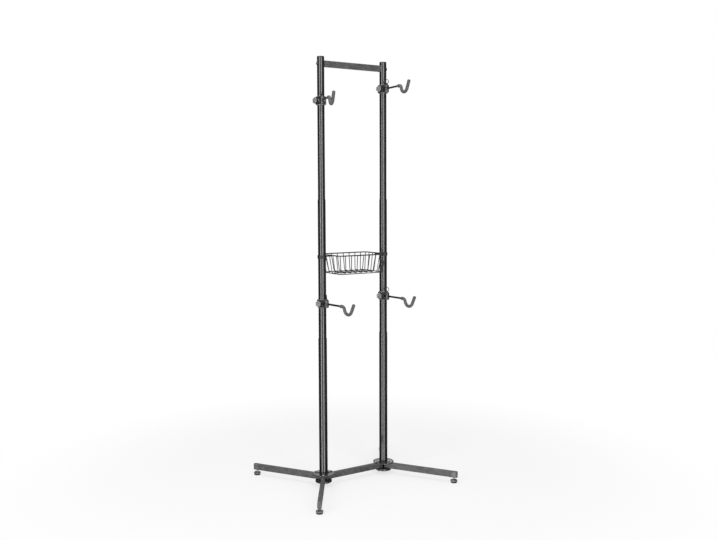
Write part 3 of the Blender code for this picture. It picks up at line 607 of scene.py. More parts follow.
def grey_rubber():
    """Soft rubber sleeve: matt, with a fine open skin and a bloom of lighter patches."""
    return finish(
        "grey_rubber", (0.098, 0.098, 0.102), 0.74,
        tint=(26, 6, (0.078, 0.078, 0.081), (0.120, 0.120, 0.125)), sheen=(80, 4, 0.66, 0.84),
        bumps=[(1500, 3, 0.35, 0.0002), (200, 3, 0.12, 0.0004)],
    )


def black_wire():
    """Dipped black coating on wire: soft gloss with slow thick and thin runs."""
    return finish(
        "black_wire", (0.030, 0.030, 0.030), 0.30,
        tint=(50, 4, (0.024, 0.024, 0.025), (0.040, 0.040, 0.041)), sheen=(160, 4, 0.22, 0.38),
        bumps=[(260, 2, 0.20, 0.0004)],
    )


GLOSS_BLACK = gloss_black_paint()
CHARCOAL = charcoal_paint()
CAST_BLACK = cast_black()
ZINC = zinc_plate()
BLACK_STEEL = blackened_steel()
BLACK_NYLON = black_nylon()
# Leg ends and foot knobs: black nylon given a lighter grey, a painted highlight.
NYLON_PAINTED_HIGHLIGHT = nylon_painted_highlight()
GREY_NYLON = grey_nylon()
GREY_RUBBER = grey_rubber()
BLACK_WIRE = black_wire()


# Base

def tube_section(width, height, corner):
    """Rounded rectangle of a tube, as (y, z) points."""
    return rectangle(width / 2, height / 2, corner, 5)


def square_tube(start, end):
    """Hollow rounded tube along X: its outer and inner outlines joined at both ends by a small lip."""
    inner, lipped, outer = (
        tube_section(TUBE_WIDTH - 2 * inset, TUBE_HEIGHT - 2 * inset, TUBE_CORNER - inset)
        for inset in (TUBE_WALL, TUBE_LIP, 0)
    )
    return stack([
        along_x(start, inner), along_x(start, lipped), along_x(start + TUBE_LIP, outer),
        along_x(end - TUBE_LIP, outer), along_x(end, lipped), along_x(end, inner),
    ], closed=True)


def leg_cap():
    """Moulded leg end along X from the tube's end: a block with rounded rims on a plug in the tube."""
    half, seat_edge = TUBE_WIDTH / 2, 0.0004
    nose = rounded([
        (GAP, -half, seat_edge), (LEG_CAP_LENGTH, -half, LEG_CAP_NOSE),
        (LEG_CAP_LENGTH, half, LEG_CAP_NOSE), (GAP, half, seat_edge),
    ], 6)
    block = slab(nose, -TUBE_HEIGHT / 2, TUBE_HEIGHT / 2, LEG_CAP_EDGE, 4)
    wall = 2 * (TUBE_WALL + GAP)
    outline = tube_section(TUBE_WIDTH - wall, TUBE_HEIGHT - wall, LEG_PLUG_CORNER)
    return [block, stack([along_x(x, outline) for x in (-LEG_CAP_PLUG, 2 * GAP)])]


def leg_turn(foot):
    """Turn of a leg about its hub, and the hub's place along X."""
    hub_x = middle_of(f"hub_plate_top_{foot.split('_')[1]}")[0]
    x, y, _ = middle_of(f"foot_glide_{foot}")
    return math.atan2(y, x - hub_x), hub_x


def make_tubes():
    """Bar between the hubs, and the legs with their moulded ends."""
    low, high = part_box("base_bar")
    level = middle_of("base_bar")[2]
    piece("base_bar_tube", [square_tube(low.x, high.x)], shift(z=level), CHARCOAL, "root",
          "base_bar")
    for foot in FEET:
        angle, hub_x = leg_turn(foot)
        at = shift(hub_x, 0, level) @ turn(angle)
        reach = (points_of(f"leg_{foot}")[:, :2] - [hub_x, 0]) @ [math.cos(angle), math.sin(angle)]
        piece(f"leg_tube_{foot}", [square_tube(reach.min(), reach.max())], at, CHARCOAL, "root",
              f"leg_{foot}")
        # The leg end's lighter grey nylon is a painted highlight.
        piece(f"leg_end_{foot}", leg_cap(), at @ shift(reach.max()), NYLON_PAINTED_HIGHLIGHT, "root",
              f"leg_cap_{foot}")


def threaded(radius, low, high, pitch, depth, sides=20):
    """Screw thread: radius - depth * w, where w is the distance of height / pitch - t / turn from
    the nearest whole number, doubled, then steepened and clipped to leave flat crests and roots."""
    height = np.linspace(low, high, max(4, int((high - low) / pitch * THREAD_RINGS)))[:, None]
    t = angles(sides)
    phase = height / pitch - t / math.tau
    wave = np.abs(phase - np.round(phase)) * 2
    return stack(about_z(radius - depth * np.clip(wave * 1.3 - 0.15, 0, 1), height, t))


def lobed_knob(radius, hollow, rows):
    """Hand knob: rows of (share, height, lobe) turned about Z.

    Each ring's reach is share * radius less hollow * lobe * (1 - cos(lobes * angle)) / 2.
    """
    rows = np.asarray(rows, float)
    t = angles(16 * GRIP_LOBES)
    wave = (1 - np.cos(GRIP_LOBES * t)) / 2
    return stack(about_z(rows[:, :1] * radius - hollow * rows[:, 2:] * wave, rows[:, 1:2], t))


def foot_knob():
    """Lobed levelling knob from height 0, its rims rounded and a small collar round the stud."""
    top = FOOT_KNOB_HEIGHT
    return lobed_knob(FOOT_GRIP_RADIUS, FOOT_GRIP_HOLLOW, [
        (0.001, 0.0002, 0), (0.52, 0.0002, 0), (0.72, 0.0006, 0.5), (0.86, 0.0017, 0.9),
        (0.95, 0.0034, 1), (0.99, 0.0052, 1), (0.99, 0.0068, 1), (0.95, 0.0086, 1),
        (0.86, 0.0103, 0.9), (0.72, 0.0114, 0.5), (0.54, top - 0.0002, 0.1), (0.46, top - 0.0002, 0),
        (0.43, top, 0), (0.38, top + 0.0012, 0), (0.34, top + 0.0015, 0), (0.001, top + 0.0015, 0),
    ])


def make_feet():
    """Each levelling foot: glide, lobed knob and threaded stud, riding on their own bodies."""
    grip = foot_knob()
    top = FOOT_KNOB_HEIGHT + STUD_SHOWING + STUD_ENGAGED
    stud = threaded(STUD_RADIUS, FOOT_KNOB_HEIGHT / 2, top, STUD_PITCH, STUD_THREAD, 24)
    face, tip = GLIDE_THICKNESS, GLIDE_THICKNESS + GLIDE_PIP_HEIGHT
    for foot in FEET:
        x, y, _ = middle_of(f"foot_glide_{foot}")
        low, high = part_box(f"foot_glide_{foot}")
        rim = (high.x - low.x) / 2
        glide = turned([
            (0, 0, 0), (rim, 0, 0.0009), (rim, face, 0.0006), (GLIDE_PIP_RADIUS, face, 0.0004),
            (GLIDE_PIP_RADIUS, tip, 0.0005), (0, tip, 0),
        ], 48)
        piece(f"glide_{foot}", [glide], shift(x, y), BLACK_NYLON, f"glide_{foot}",
              f"foot_glide_{foot}")
        at = shift(x, y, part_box(f"foot_knob_{foot}")[0].z)
        # The foot knob's lighter grey nylon is a painted highlight.
        piece(f"foot_grip_{foot}", [grip], at, NYLON_PAINTED_HIGHLIGHT, f"foot_{foot}",
              f"foot_knob_{foot}")
        piece(f"foot_stud_{foot}", [stud], at, ZINC, f"foot_{foot}")


def hex_solid(radius, low, high):
    """Hexagon nut or head with its rims rounded."""
    return slab(bent(circle(radius, 6), HEX_EDGE, 2), low, high, HEX_EDGE, 2)


def make_hubs():
    """Hub plates with two bolts through each tube, the inner one with its nut under the lower plate."""
    for side in SIDES:
        low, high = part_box(f"hub_plate_top_{side}")
        at = shift(middle_of(f"hub_plate_top_{side}")[0])
        rim, seat, bore = (high.x - low.x) / 2, high.z - HUB_SPIGOT_HEIGHT, SPIGOT_RADIUS - HUB_SPIGOT_WALL
        plate = washer([
            (bore, low.z, 0.0004), (rim, low.z, 0.0009), (rim, seat, 0.0009),
            (SPIGOT_RADIUS, seat, 0.0003), (SPIGOT_RADIUS, high.z, 0.0003), (bore, high.z, 0.0003),
        ])
        piece(f"hub_top_{side}", [plate], at, CAST_BLACK, "root", f"hub_plate_top_{side}")
        base_low, base_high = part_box(f"hub_plate_bottom_{side}")
        rim, edge, bore = (base_high.x - base_low.x) / 2, HUB_BASE_CHAMFER, HUB_CENTRE_RADIUS
        plate = washer([
            (bore, base_low.z, 0.0004), (rim - edge, base_low.z, 0.0008), (rim, base_low.z + edge, 0.0008),
            (rim, base_high.z, 0.0006), (bore, base_high.z, 0.0004),
        ])
        piece(f"hub_base_{side}", [plate], at, CAST_BLACK, "root", f"hub_plate_bottom_{side}")
        bolts = hub_bolts(side, seat, low.z - TUBE_HEIGHT / 2, base_low.z)
        piece(f"hub_bolts_{side}", bolts, at, ZINC, "root")


def hub_bolts(side, top, tube_middle, base):
    """Heads and shanks about one hub's axis: the outer ones end in their tube, and the inner ones
    below the lower plate, in a nut."""
    head = hex_solid(HUB_BOLT_HEAD_RADIUS, top, top + HUB_BOLT_HEAD_HEIGHT)
    tip = base - HUB_BOLT_HEAD_HEIGHT
    nut = hex_solid(HUB_BOLT_HEAD_RADIUS, tip + HUB_BOLT_END, base)
    shells = []
    bar = 0.0 if side == "left" else math.pi
    for angle in (bar, leg_turn(f"front_{side}")[0], leg_turn(f"back_{side}")[0]):
        for reach, bottom in ((HUB_BOLT_INNER, tip), (HUB_BOLT_OUTER, tube_middle)):
            shank = threaded(HUB_BOLT_RADIUS, bottom, top + FINE_PITCH, FINE_PITCH, BOLT_THREAD)
            shells += [moved(shell, turn(angle) @ shift(reach)) for shell in (head, shank)]
        shells.append(moved(nut, turn(angle) @ shift(HUB_BOLT_INNER)))
    return shells


# Posts

def make_posts():
    """Three nested tubes a post, the caps, and the top bar with its bolts."""
    for side in SIDES:
        at = shift(middle_of(f"post_upper_{side}")[0])
        for level, radius in (("lower", FOOT_RADIUS), ("middle", MIDDLE_RADIUS), ("upper", TOP_RADIUS)):
            low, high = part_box(f"post_{level}_{side}")
            bore = radius - POST_WALL
            tube = washer([
                (bore, low.z, 0.0003), (radius, low.z, 0.0003),
                (radius, high.z, 0.0007), (bore, high.z, 0.0005),
            ])
            piece(f"post_tube_{level}_{side}", [tube], at, GLOSS_BLACK, "root",
                  f"post_{level}_{side}")
        low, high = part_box(f"post_cap_{side}")
        seat, plug = high.z - POST_CAP_THICKNESS, TOP_RADIUS - POST_WALL - GAP
        cap = turned([
            (0, low.z, 0), (plug, low.z, 0.0005), (plug, seat, 0.0002), (TOP_RADIUS, seat, 0.0003),
            (TOP_RADIUS, high.z - POST_CAP_CROWN, 0.0020), (0, high.z, 0),
        ], ROUND_SIDES, 5)
        piece(f"post_top_{side}", [cap], at, BLACK_NYLON, "root", f"post_cap_{side}")
        make_bar_bolt(side)
    make_top_bar()


def make_bar_bolt(side):
    """Button-headed bolt through the post into the bar, with a hexagon socket in its head."""
    low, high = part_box(f"bar_bolt_{side}")
    length, head, rise = high.x - low.x, BAR_BOLT_HEAD_RADIUS, BAR_BOLT_HEAD_HEIGHT
    solid = turned([
        (0, 0, 0), (head * 0.62, 0, 0.0016), (head, rise * 0.72, 0.0004), (head, rise, 0.0003),
        (BAR_BOLT_RADIUS, rise, 0.0003), (BAR_BOLT_RADIUS, length, 0.0006), (0, length, 0),
    ], TURNED_SIDES, 4)
    socket = prism(circle(BAR_SOCKET_RADIUS, 6), [-0.001, BAR_SOCKET_DEPTH])
    mesh = carved(f"bar_bolt_shape_{side}", solid, [("DIFFERENCE", socket)])
    outer, inward = (low.x, 1) if side == "left" else (high.x, -1)
    at = shift(outer, 0, middle_of(f"bar_bolt_{side}")[2]) @ turn(inward * math.pi / 2, "y")
    piece(f"bar_screw_{side}", mesh, at, BLACK_STEEL, "root", f"bar_bolt_{side}")


def make_top_bar():
    """Bar between the posts. Its ends follow their round walls: x = half - sqrt(r * r - y * y)."""
    low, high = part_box("top_bar")
    section = tube_section(high.y - low.y, high.z - low.z, TOP_BAR_CORNER)
    half = middle_of("post_upper_right")[0]
    wall = TOP_RADIUS + GAP + TOP_BAR_EASE
    ends = []
    for share, edge in ((0.05, 0), (0.5, 0), (0.93, 0), (1.0, TOP_BAR_EDGE)):
        outline = section * share
        ends.append((half - np.sqrt(wall ** 2 - outline[:, 0] ** 2) - edge, outline))
    rings = [along_x(-x, outline) for x, outline in ends]
    rings += [along_x(share * (half - wall), section) for share in np.linspace(-0.9, 0.9, 7)]
    rings += [along_x(x, outline) for x, outline in ends[::-1]]
    piece("top_bar_tube", [stack(rings)], shift(z=middle_of("top_bar")[2]), CHARCOAL, "root",
          "top_bar")


# Arm brackets

def arm_path(lead):
    """Centre line of the rod towards -Y: straight out from the lead, an arc down, the cradle's arc
    up and a straight tip, each arc a centre plus or minus its radius times (sin t, cos t)."""
    down = np.linspace(0, ROD_DIP_ANGLE, 14)
    dip = ROD_DIP_RADIUS * np.column_stack([np.sin(down), np.cos(down) - 1]) + [ROD_STRAIGHT, 0]
    centre = dip[-1] + CRADLE_RADIUS * np.array([math.sin(ROD_DIP_ANGLE), math.cos(ROD_DIP_ANGLE)])
    swing = np.linspace(-ROD_DIP_ANGLE, CRADLE_TIP_ANGLE, 28)[1:]
    cradle = centre + CRADLE_RADIUS * np.column_stack([np.sin(swing), -np.cos(swing)])
    onward = np.array([math.cos(CRADLE_TIP_ANGLE), math.sin(CRADLE_TIP_ANGLE)])
    tip = cradle[-1] + np.linspace(0, CRADLE_TIP_LENGTH, 6)[1:, None] * onward
    straight = np.column_stack([np.linspace(lead, ROD_STRAIGHT, 8)[:-1], np.zeros(7)])
    line = np.vstack([straight, dip, cradle, tip])
    return np.column_stack([np.zeros(len(line)), -line[:, 0], line[:, 1]])


def drum(radius, sides, low, high):
    """Plain cylinder about Z."""
    return prism(circle(radius, sides), [low, high])


def rod_mesh():
    """Hinge eye and bent bar in one, the eye bored for the pin."""
    eye = slab(circle(EYE_RADIUS, 48), -EYE_HEIGHT / 2, EYE_HEIGHT / 2, EYE_EDGE)
    bar = swept(arm_path(EYE_RADIUS * 0.7), ROD_RADIUS, BAR_SIDES, (1, 0, 0))
    hole = drum(PIN_RADIUS + RUNNING_CLEARANCE, BORE_SIDES, -EYE_HEIGHT, EYE_HEIGHT)
    return carved("rod_shape", eye, [("UNION", bar), ("DIFFERENCE", hole)])


def pad_shell():
    """Rubber sleeve: from its inner end back along the bore, round the swollen mouth, then along
    its outer face to a tip that narrows as skin * cos(t) ** 0.6 over PAD_END * sin(t)."""
    path = arm_path(ROD_STRAIGHT - PAD_LEAD)
    along = np.concatenate([[0], np.cumsum(np.linalg.norm(np.diff(path, axis=0), axis=1))])
    skin = ROD_RADIUS + PAD_WALL
    swell = skin + PAD_START_SWELL
    mouth = np.array([
        (0, PAD_BORE + 0.0004), (0.0002, skin - 0.0004), (0.0008, swell - 0.0003), (0.0020, swell),
        (0.0032, swell - 0.0002), (0.0042, skin + 0.0004), (PAD_LEAD, skin),
    ])
    mouth_path = np.column_stack([np.interp(mouth[:, 0], along, path[:, k]) for k in range(3)])
    t = np.linspace(0, math.pi / 2, 6)[1:-1]
    past = np.append(PAD_END * np.sin(t), PAD_END)[:, None]
    stretches = (
        (path[::-1], PAD_BORE), (mouth_path, mouth[:, 1]), (path[along > PAD_LEAD], skin),
        (path[-1] + directions(path, False)[-1] * past, np.append(skin * np.cos(t) ** 0.6, skin * 0.16)),
    )
    return stack(np.vstack([sleeve_rings(line, radius) for line, radius in stretches]))


def sleeve_rings(line, radius):
    """Rings of the sleeve along part of the arm, which all start on the same side of it."""
    if line[0, 1] < line[-1, 1]:
        return rings_along(line[::-1], radius, BAR_SIDES, (1, 0, 0))[::-1]
    return rings_along(line, radius, BAR_SIDES, (1, 0, 0))


def liner_shell(post_radius):
    """Split sleeve: a flanged profile carried round the post for less than a full turn."""
    bore = post_radius + BORE_EASE
    half = COLLAR_HEIGHT / 2 + GAP
    end = half + LINER_FLANGE_THICKNESS
    rim = LINER_RADIUS + LINER_FLANGE
    lower = [(bore, -end, 0.0003), (rim, -end, 0.0008), (rim, -half, 0.0003), (LINER_RADIUS, -half, 0.0002)]
    profile = rounded(lower + [(reach, -height, edge) for reach, height, edge in lower[::-1]], 3)
    gap = math.asin(LINER_SPLIT / 2 / LINER_RADIUS)
    t = np.linspace(math.pi / 2 + gap, math.pi / 2 + math.tau - gap, 73)
    return stack(about_z(profile[None, :, 0], profile[None, :, 1], t[:, None]))


def collar_outline(hinge_reach):
    """Circle round the post and a smaller one round the hinge pin, joined by their tangents."""
    lean = math.asin((COLLAR_RADIUS - EYE_RADIUS) / hinge_reach)
    big = np.linspace(-lean, math.pi + lean, 40)
    small = np.linspace(math.pi + lean, math.tau - lean, 20)
    return np.vstack([
        COLLAR_RADIUS * np.column_stack([np.cos(big), np.sin(big)]),
        EYE_RADIUS * np.column_stack([np.cos(small), np.sin(small)]) - [0, hinge_reach],
    ])


def bracket_turns(corner):
    """A bracket's post and hinge places, its collar's turn, and its knob's turn within the collar."""
    post, hinge = joint(f"collar_turn_{corner}", "pos_m"), joint(f"arm_swing_{corner}", "pos_m")
    out = hinge - post
    collar_turn = math.atan2(out[0], -out[1])
    knob_way = joint(f"knob_turn_{corner}", "axis")
    return post, hinge, collar_turn, math.atan2(-knob_way[1], -knob_way[0]) - collar_turn


def collar_mesh():
    """Cast collar with its forked hinge and its screw boss, all edges broken."""
    post, hinge, _, knob_turn = bracket_turns(CORNERS[0])
    reach = float(np.hypot(*(hinge - post)[:2]))
    left = turn(knob_turn) @ turn(-math.pi / 2, "y")
    body = slab(collar_outline(reach), -COLLAR_HEIGHT / 2, COLLAR_HEIGHT / 2, COLLAR_EDGE)
    boss = prism(circle(KNOB_BOSS_RADIUS, TURNED_SIDES), [COLLAR_BORE, KNOB_SEAT - BOSS_EDGE, KNOB_SEAT],
                 [-BOSS_EDGE, 0, BOSS_EDGE])
    wide, front, back = 0.05, -0.1, EYE_RADIUS + SWING_CLEARANCE - reach
    slot_half = EYE_HEIGHT / 2 + GAP
    slot = prism([[-wide, front], [wide, front], [wide, back], [-wide, back]], [-slot_half, slot_half])
    cuts = (
        drum(COLLAR_BORE, ROUND_SIDES, -COLLAR_HEIGHT, COLLAR_HEIGHT),
        slot,
        moved(drum(PIN_RADIUS + BORE_EASE, BORE_SIDES, -COLLAR_HEIGHT, COLLAR_HEIGHT), shift(0, -reach)),
        moved(drum(KNOB_SCREW_RADIUS + BORE_EASE, 24, TOP_RADIUS, COLLAR_RADIUS * 2), left),
    )
    steps = [("UNION", moved(boss, left))] + [("DIFFERENCE", cut) for cut in cuts]
    return carved("collar_shape", body, steps)


def clamp_knob():
    """Lobed clamp knob from its back face at height 0: rounded rims and a dished face."""
    top = KNOB_THICKNESS
    return lobed_knob(KNOB_RADIUS, CLAMP_GRIP_HOLLOW, [
        (0.001, 0, 0), (0.48, 0, 0), (0.52, 0.0003, 0), (0.54, 0.0016, 0.1), (0.80, 0.0020, 0.8),
        (0.93, 0.0024, 1), (0.985, 0.0032, 1), (1.0, 0.0045, 1), (1.0, top - 0.0030, 1),
        (0.975, top - 0.0012, 1), (0.92, top - 0.0003, 1), (0.86, top, 0.9), (0.74, top - 0.0002, 0.6),
        (0.52, top - 0.0016, 0.1), (0.40, top - 0.0018, 0), (0.38, top - 0.0010, 0),
        (0.34, top - 0.0006, 0), (0.001, top - 0.0004, 0),
    ])


def hinge_pin():
    """Hinge pin with a flanged head, from below the collar to the top of its neck."""
    seat, tail = COLLAR_HEIGHT / 2 + GAP, -COLLAR_HEIGHT / 2 - PIN_TAIL
    neck = seat + PIN_FLANGE_THICKNESS
    top = neck + PIN_NECK_HEIGHT
    return turned([
        (0, tail, 0), (PIN_RADIUS / 2, tail, 0.0003), (PIN_RADIUS, tail + PIN_TAIL, 0.0006),
        (PIN_RADIUS, seat, 0.0003), (PIN_FLANGE_RADIUS, seat, 0.0006), (PIN_FLANGE_RADIUS, neck, 0.0009),
        (PIN_RADIUS, neck, 0.0006), (PIN_RADIUS, top, 0.0014), (0, top, 0),
    ], TURNED_SIDES, 4)


def pull_ring():
    """Wire ring that stands in the XZ plane, through the middle of the pin's neck."""
    height = COLLAR_HEIGHT / 2 + GAP + PIN_FLANGE_THICKNESS + PIN_NECK_HEIGHT / 2 + RING_RADIUS
    ring = circle(RING_RADIUS, 56)
    path = np.column_stack([ring[:, 0], np.zeros(len(ring)), height + ring[:, 1]])
    return swept(path, RING_WIRE_RADIUS, 16, (0, 1, 0), closed=True)


def arm_heading(corner, hinge):
    """Turn of an arm about its hinge, from the CAD rod's farthest points in plan."""
    points = points_of(f"arm_rod_{corner}")[:, :2] - hinge[:2]
    reach = np.linalg.norm(points, axis=1)
    far = points[reach > reach.max() - ROD_TIP_DEPTH].mean(0)
    return math.atan2(far[0], -far[1])


def ring_heading(corner, hinge):
    """Turn of a pull ring about its pin, from the CAD ring's farthest point in plan."""
    points = points_of(f"hinge_pin_{corner}")
    points = points[points[:, 2] > hinge[2] + RING_LEVEL][:, :2] - hinge[:2]
    far = points[np.argmax(np.linalg.norm(points, axis=1))]
    return math.atan2(far[1], far[0])


def make_brackets():
    """Four arm brackets, each riding on its own five bodies."""
    liners = {"upper": liner_shell(TOP_RADIUS), "lower": liner_shell(MIDDLE_RADIUS)}
    rod, collar = rod_mesh(), collar_mesh()
    pad, knob, pin, ring = pad_shell(), clamp_knob(), hinge_pin(), pull_ring()
    tip = LINER_RADIUS + GAP - KNOB_SEAT
    screw = threaded(KNOB_SCREW_RADIUS, tip, KNOB_THICKNESS / 2, FINE_PITCH, SCREW_THREAD)
    for corner in CORNERS:
        post, hinge, collar_turn, knob_turn = bracket_turns(corner)
        liner = liners[corner.split("_")[0]]
        at_post, at_hinge = shift(*post) @ turn(collar_turn), shift(*hinge)
        at_knob = at_post @ turn(knob_turn) @ turn(-math.pi / 2, "y") @ shift(z=KNOB_SEAT)
        at_arm = at_hinge @ turn(arm_heading(corner, hinge))
        at_ring = at_hinge @ turn(ring_heading(corner, hinge))
        for name, shape, at, material, body, slot, node in (
            ("liner", [liner], shift(*post), GREY_NYLON, "height", "grey_nylon", "arm_liner"),
            ("collar", collar, at_post, CAST_BLACK, "collar", "collar_paint", "arm_collar"),
            ("clamp_grip", [knob], at_knob @ shift(z=GAP), GREY_NYLON, "knob", "grey_nylon", "clamp_knob"),
            ("clamp_screw", [screw], at_knob, ZINC, "knob", "zinc", ""),
            ("pin", [pin], at_hinge, BLACK_STEEL, "pin", "zinc", "hinge_pin"),
            ("pull_ring", [ring], at_ring, BLACK_STEEL, "pin", "zinc", ""),
            ("rod", rod, at_arm, GLOSS_BLACK, "arm", "rod_paint", "arm_rod"),
            ("pad", [pad], at_arm, GREY_RUBBER, "arm", "grey_rubber", "hook_pad"),
        ):
            bevel = COLLAR_BEVEL if name == "collar" else 0.0
            piece(f"{name}_{corner}", shape, at, material, f"{body}_{corner}",
                  node and f"{node}_{corner}", bevel)


# Basket

def level_loop(half_x, half_y, corner, height, radius, sides):
    """Rounded rectangle of wire at one height."""
    line = rectangle(half_x, half_y, corner, 8)
    path = np.column_stack([line, np.full(len(line), height)])
    return swept(path, radius, sides, (0, 0, 1), closed=True)


def basket_shells(rim_top):
    """Welded basket: thick rim, a loop round the floor, wires bent down, across and up, and end
    wires of which only the middle one runs on along the floor."""
    wire, rim = BASKET_WIRE_RADIUS, BASKET_RIM_RADIUS
    rim_z, floor_z = rim_top - rim, rim_top - BASKET_HEIGHT + wire
    half_x, half_y = BASKET_LENGTH / 2 - rim, BASKET_DEPTH / 2 - rim
    low_x, low_y = BASKET_BOTTOM_LENGTH / 2 - wire, BASKET_BOTTOM_DEPTH / 2 - wire
    inner_x, inner_y = half_x - rim, half_y - rim
    shells = [
        level_loop(half_x, half_y, BASKET_CORNER, rim_z, rim, 14),
        level_loop(low_x, low_y, BASKET_LOOP_CORNER, floor_z, BASKET_LOOP_RADIUS, 12),
    ]
    for share in np.arange(1, BASKET_GAPS_LONG) * 2 / BASKET_GAPS_LONG - 1:
        top, bottom, deep, height = share * half_x, share * low_x, low_y - wire, floor_z + 2 * wire
        front = [[top, -inner_y, rim_z], [bottom, -deep, height]]
        back = [[bottom, deep, height], [top, inner_y, rim_z]]
        path = bent(front + back, BASKET_FLOOR_BEND, 6, closed=False)
        shells.append(swept(path, wire, WIRE_SIDES, (1, 0, 0)))
    for share in np.arange(1, BASKET_GAPS_DEEP) * 2 / BASKET_GAPS_DEEP - 1:
        top, bottom, wide = share * half_y, share * low_y, low_x - wire
        left = [[-inner_x, top, rim_z], [-wide, bottom, floor_z]]
        right = [[wide, bottom, floor_z], [inner_x, top, rim_z]]
        paths = [np.linspace(*left, 6), np.linspace(*right[::-1], 6)]
        if share == 0:
            paths = [bent(left + right, BASKET_FLOOR_BEND, 6, closed=False)]
        shells += [swept(path, wire, WIRE_SIDES, (0, 1, 0)) for path in paths]
    rim_in, foot_in = (corner * (1 - math.sqrt(0.5)) for corner in (BASKET_CORNER, BASKET_LOOP_CORNER))
    top = np.array([inner_x - rim_in, inner_y - rim_in, rim_z])
    foot = np.array([low_x - foot_in, low_y - foot_in, floor_z])
    for way in ((-1, -1, 1), (-1, 1, 1), (1, -1, 1), (1, 1, 1)):
        shells.append(swept(np.linspace(top * way, foot * way, 6), wire, WIRE_SIDES, (1, 0, 0)))
    return shells


def make_basket():
    """Wire basket, and the paint of the hangers that it drops into."""
    _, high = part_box("basket")
    piece("basket_wires", basket_shells(high.z), shift(), BLACK_WIRE, "basket", "basket")
    for side in SIDES:
        node = frame["nodes"][f"basket_hanger_{side}"]
        node.data.materials.clear()
        node.data.materials.append(GLOSS_BLACK)


# Studio

# The photograph in pixels: its size, and its lens as worked out from the stand's edges
PHOTO_WIDTH = 716
PHOTO_HEIGHT = 540
PHOTO_FOCAL = 856.70
PHOTO_MIDDLE_X = 360.658
PHOTO_MIDDLE_Y = 269.413
CAMERA_PLACE = (-2.2477, -3.6129, 1.4444)
CAMERA_YAW = math.radians(32.381)
CAMERA_PITCH = math.radians(5.045)
CAMERA_ROLL = math.radians(-0.199)
RIGHT = np.array([math.cos(CAMERA_YAW), -math.sin(CAMERA_YAW), 0.0])
AWAY = np.array([math.sin(CAMERA_YAW), math.cos(CAMERA_YAW), 0.0])
UP = np.array([0.0, 0.0, 1.0])

# Light, in strengths and watts, and the studio's sizes in metres
WORLD_LEVEL = 0.42
PANEL_POWER = 44
PANEL_SIZE = (0.9, 2.9)
PANEL_DISTANCE = 3.6
PANEL_HEIGHT = 1.35
TOP_PANEL_POWER = 50
TOP_PANEL_SIZE = (2.4, 2.4)
TOP_PANEL_PLACE = (-0.3, -0.4, 4.2)
FLOOR_GREY = 0.80
FLOOR_DROP = 0.0002
FLOOR_WHITE_NEAR = 0.68
FLOOR_FADE = (0.75, 2.0)
CARD_DISTANCE = 3.4
CARD_DARK_HEIGHTS = (-2.5, 4.5)
CARD_GLOW_HEIGHTS = (-1.3, 2.9)
CARD_GLOW = 10.0


def make_camera():
    """The photograph's own view: place, turn, lens and shift."""
    data = bpy.data.cameras.new("photo_view")
    data.sensor_fit = "HORIZONTAL"
    data.sensor_width = 36
    data.lens = data.sensor_width * PHOTO_FOCAL / PHOTO_WIDTH
    data.shift_x = -(PHOTO_MIDDLE_X - PHOTO_WIDTH / 2) / PHOTO_WIDTH
    data.shift_y = (PHOTO_MIDDLE_Y - PHOTO_HEIGHT / 2) / PHOTO_WIDTH
    data.clip_start, data.clip_end = 0.05, 60
    camera = linked("photo_view", data)
    lift = UP * math.cos(CAMERA_PITCH) + AWAY * math.sin(CAMERA_PITCH)
    matrix = np.eye(4)
    matrix[:3, 0] = math.cos(CAMERA_ROLL) * RIGHT + math.sin(CAMERA_ROLL) * lift
    matrix[:3, 1] = -math.sin(CAMERA_ROLL) * RIGHT + math.cos(CAMERA_ROLL) * lift
    matrix[:3, 2] = UP * math.sin(CAMERA_PITCH) - AWAY * math.cos(CAMERA_PITCH)
    matrix[:3, 3] = CAMERA_PLACE
    camera.matrix_world = Matrix(matrix.tolist())
    bpy.context.scene.camera = camera


def bearing(degrees, distance, height):
    """Points at bearings about the stand, counted from the camera's side; 90 is to its right."""
    angle = np.radians(np.atleast_1d(degrees))[:, None]
    return (RIGHT * np.sin(angle) - AWAY * np.cos(angle)) * distance + UP * height


def light_panel(name, power, size, place, target):
    """Soft rectangular lamp that faces a point."""
    data = bpy.data.lights.new(name, "AREA")
    data.shape = "RECTANGLE"
    data.size, data.size_y = size
    data.energy = power
    lamp = linked(name, data)
    lamp.location = place
    lamp.rotation_mode = "QUATERNION"
    lamp.rotation_quaternion = (Vector(place) - Vector(target)).to_track_quat("Z", "Y")
    return lamp


def looked_at(tree):
    """Light Path node, and the larger of its camera and glossy ray outputs."""
    path = put(tree, "ShaderNodeLightPath")
    rays = {0: path.outputs["Is Camera Ray"], 1: path.outputs["Is Glossy Ray"]}
    return path, put(tree, "ShaderNodeMath", rays, operation="MAXIMUM").outputs[0]


def empty_tree(owner):
    """Node tree of a material or world, with nothing in it."""
    owner.use_nodes = True
    owner.node_tree.nodes.clear()
    return owner.node_tree


def make_world():
    """Plain level light, and white where the camera or a reflection looks past everything."""
    world = bpy.data.worlds.new("studio")
    bpy.context.scene.world = world
    tree = empty_tree(world)
    path, seen = looked_at(tree)
    rays = {0: seen, 1: path.outputs["Is Transmission Ray"]}
    through = put(tree, "ShaderNodeMath", rays, operation="MAXIMUM").outputs[0]
    level = put(tree, "ShaderNodeMapRange", {"Value": through, "To Min": WORLD_LEVEL, "To Max": 1.0})
    white = {"Color": (1, 1, 1, 1), "Strength": level.outputs["Result"]}
    background = put(tree, "ShaderNodeBackground", white)
    put(tree, "ShaderNodeOutputWorld", {"Surface": background.outputs[0]})


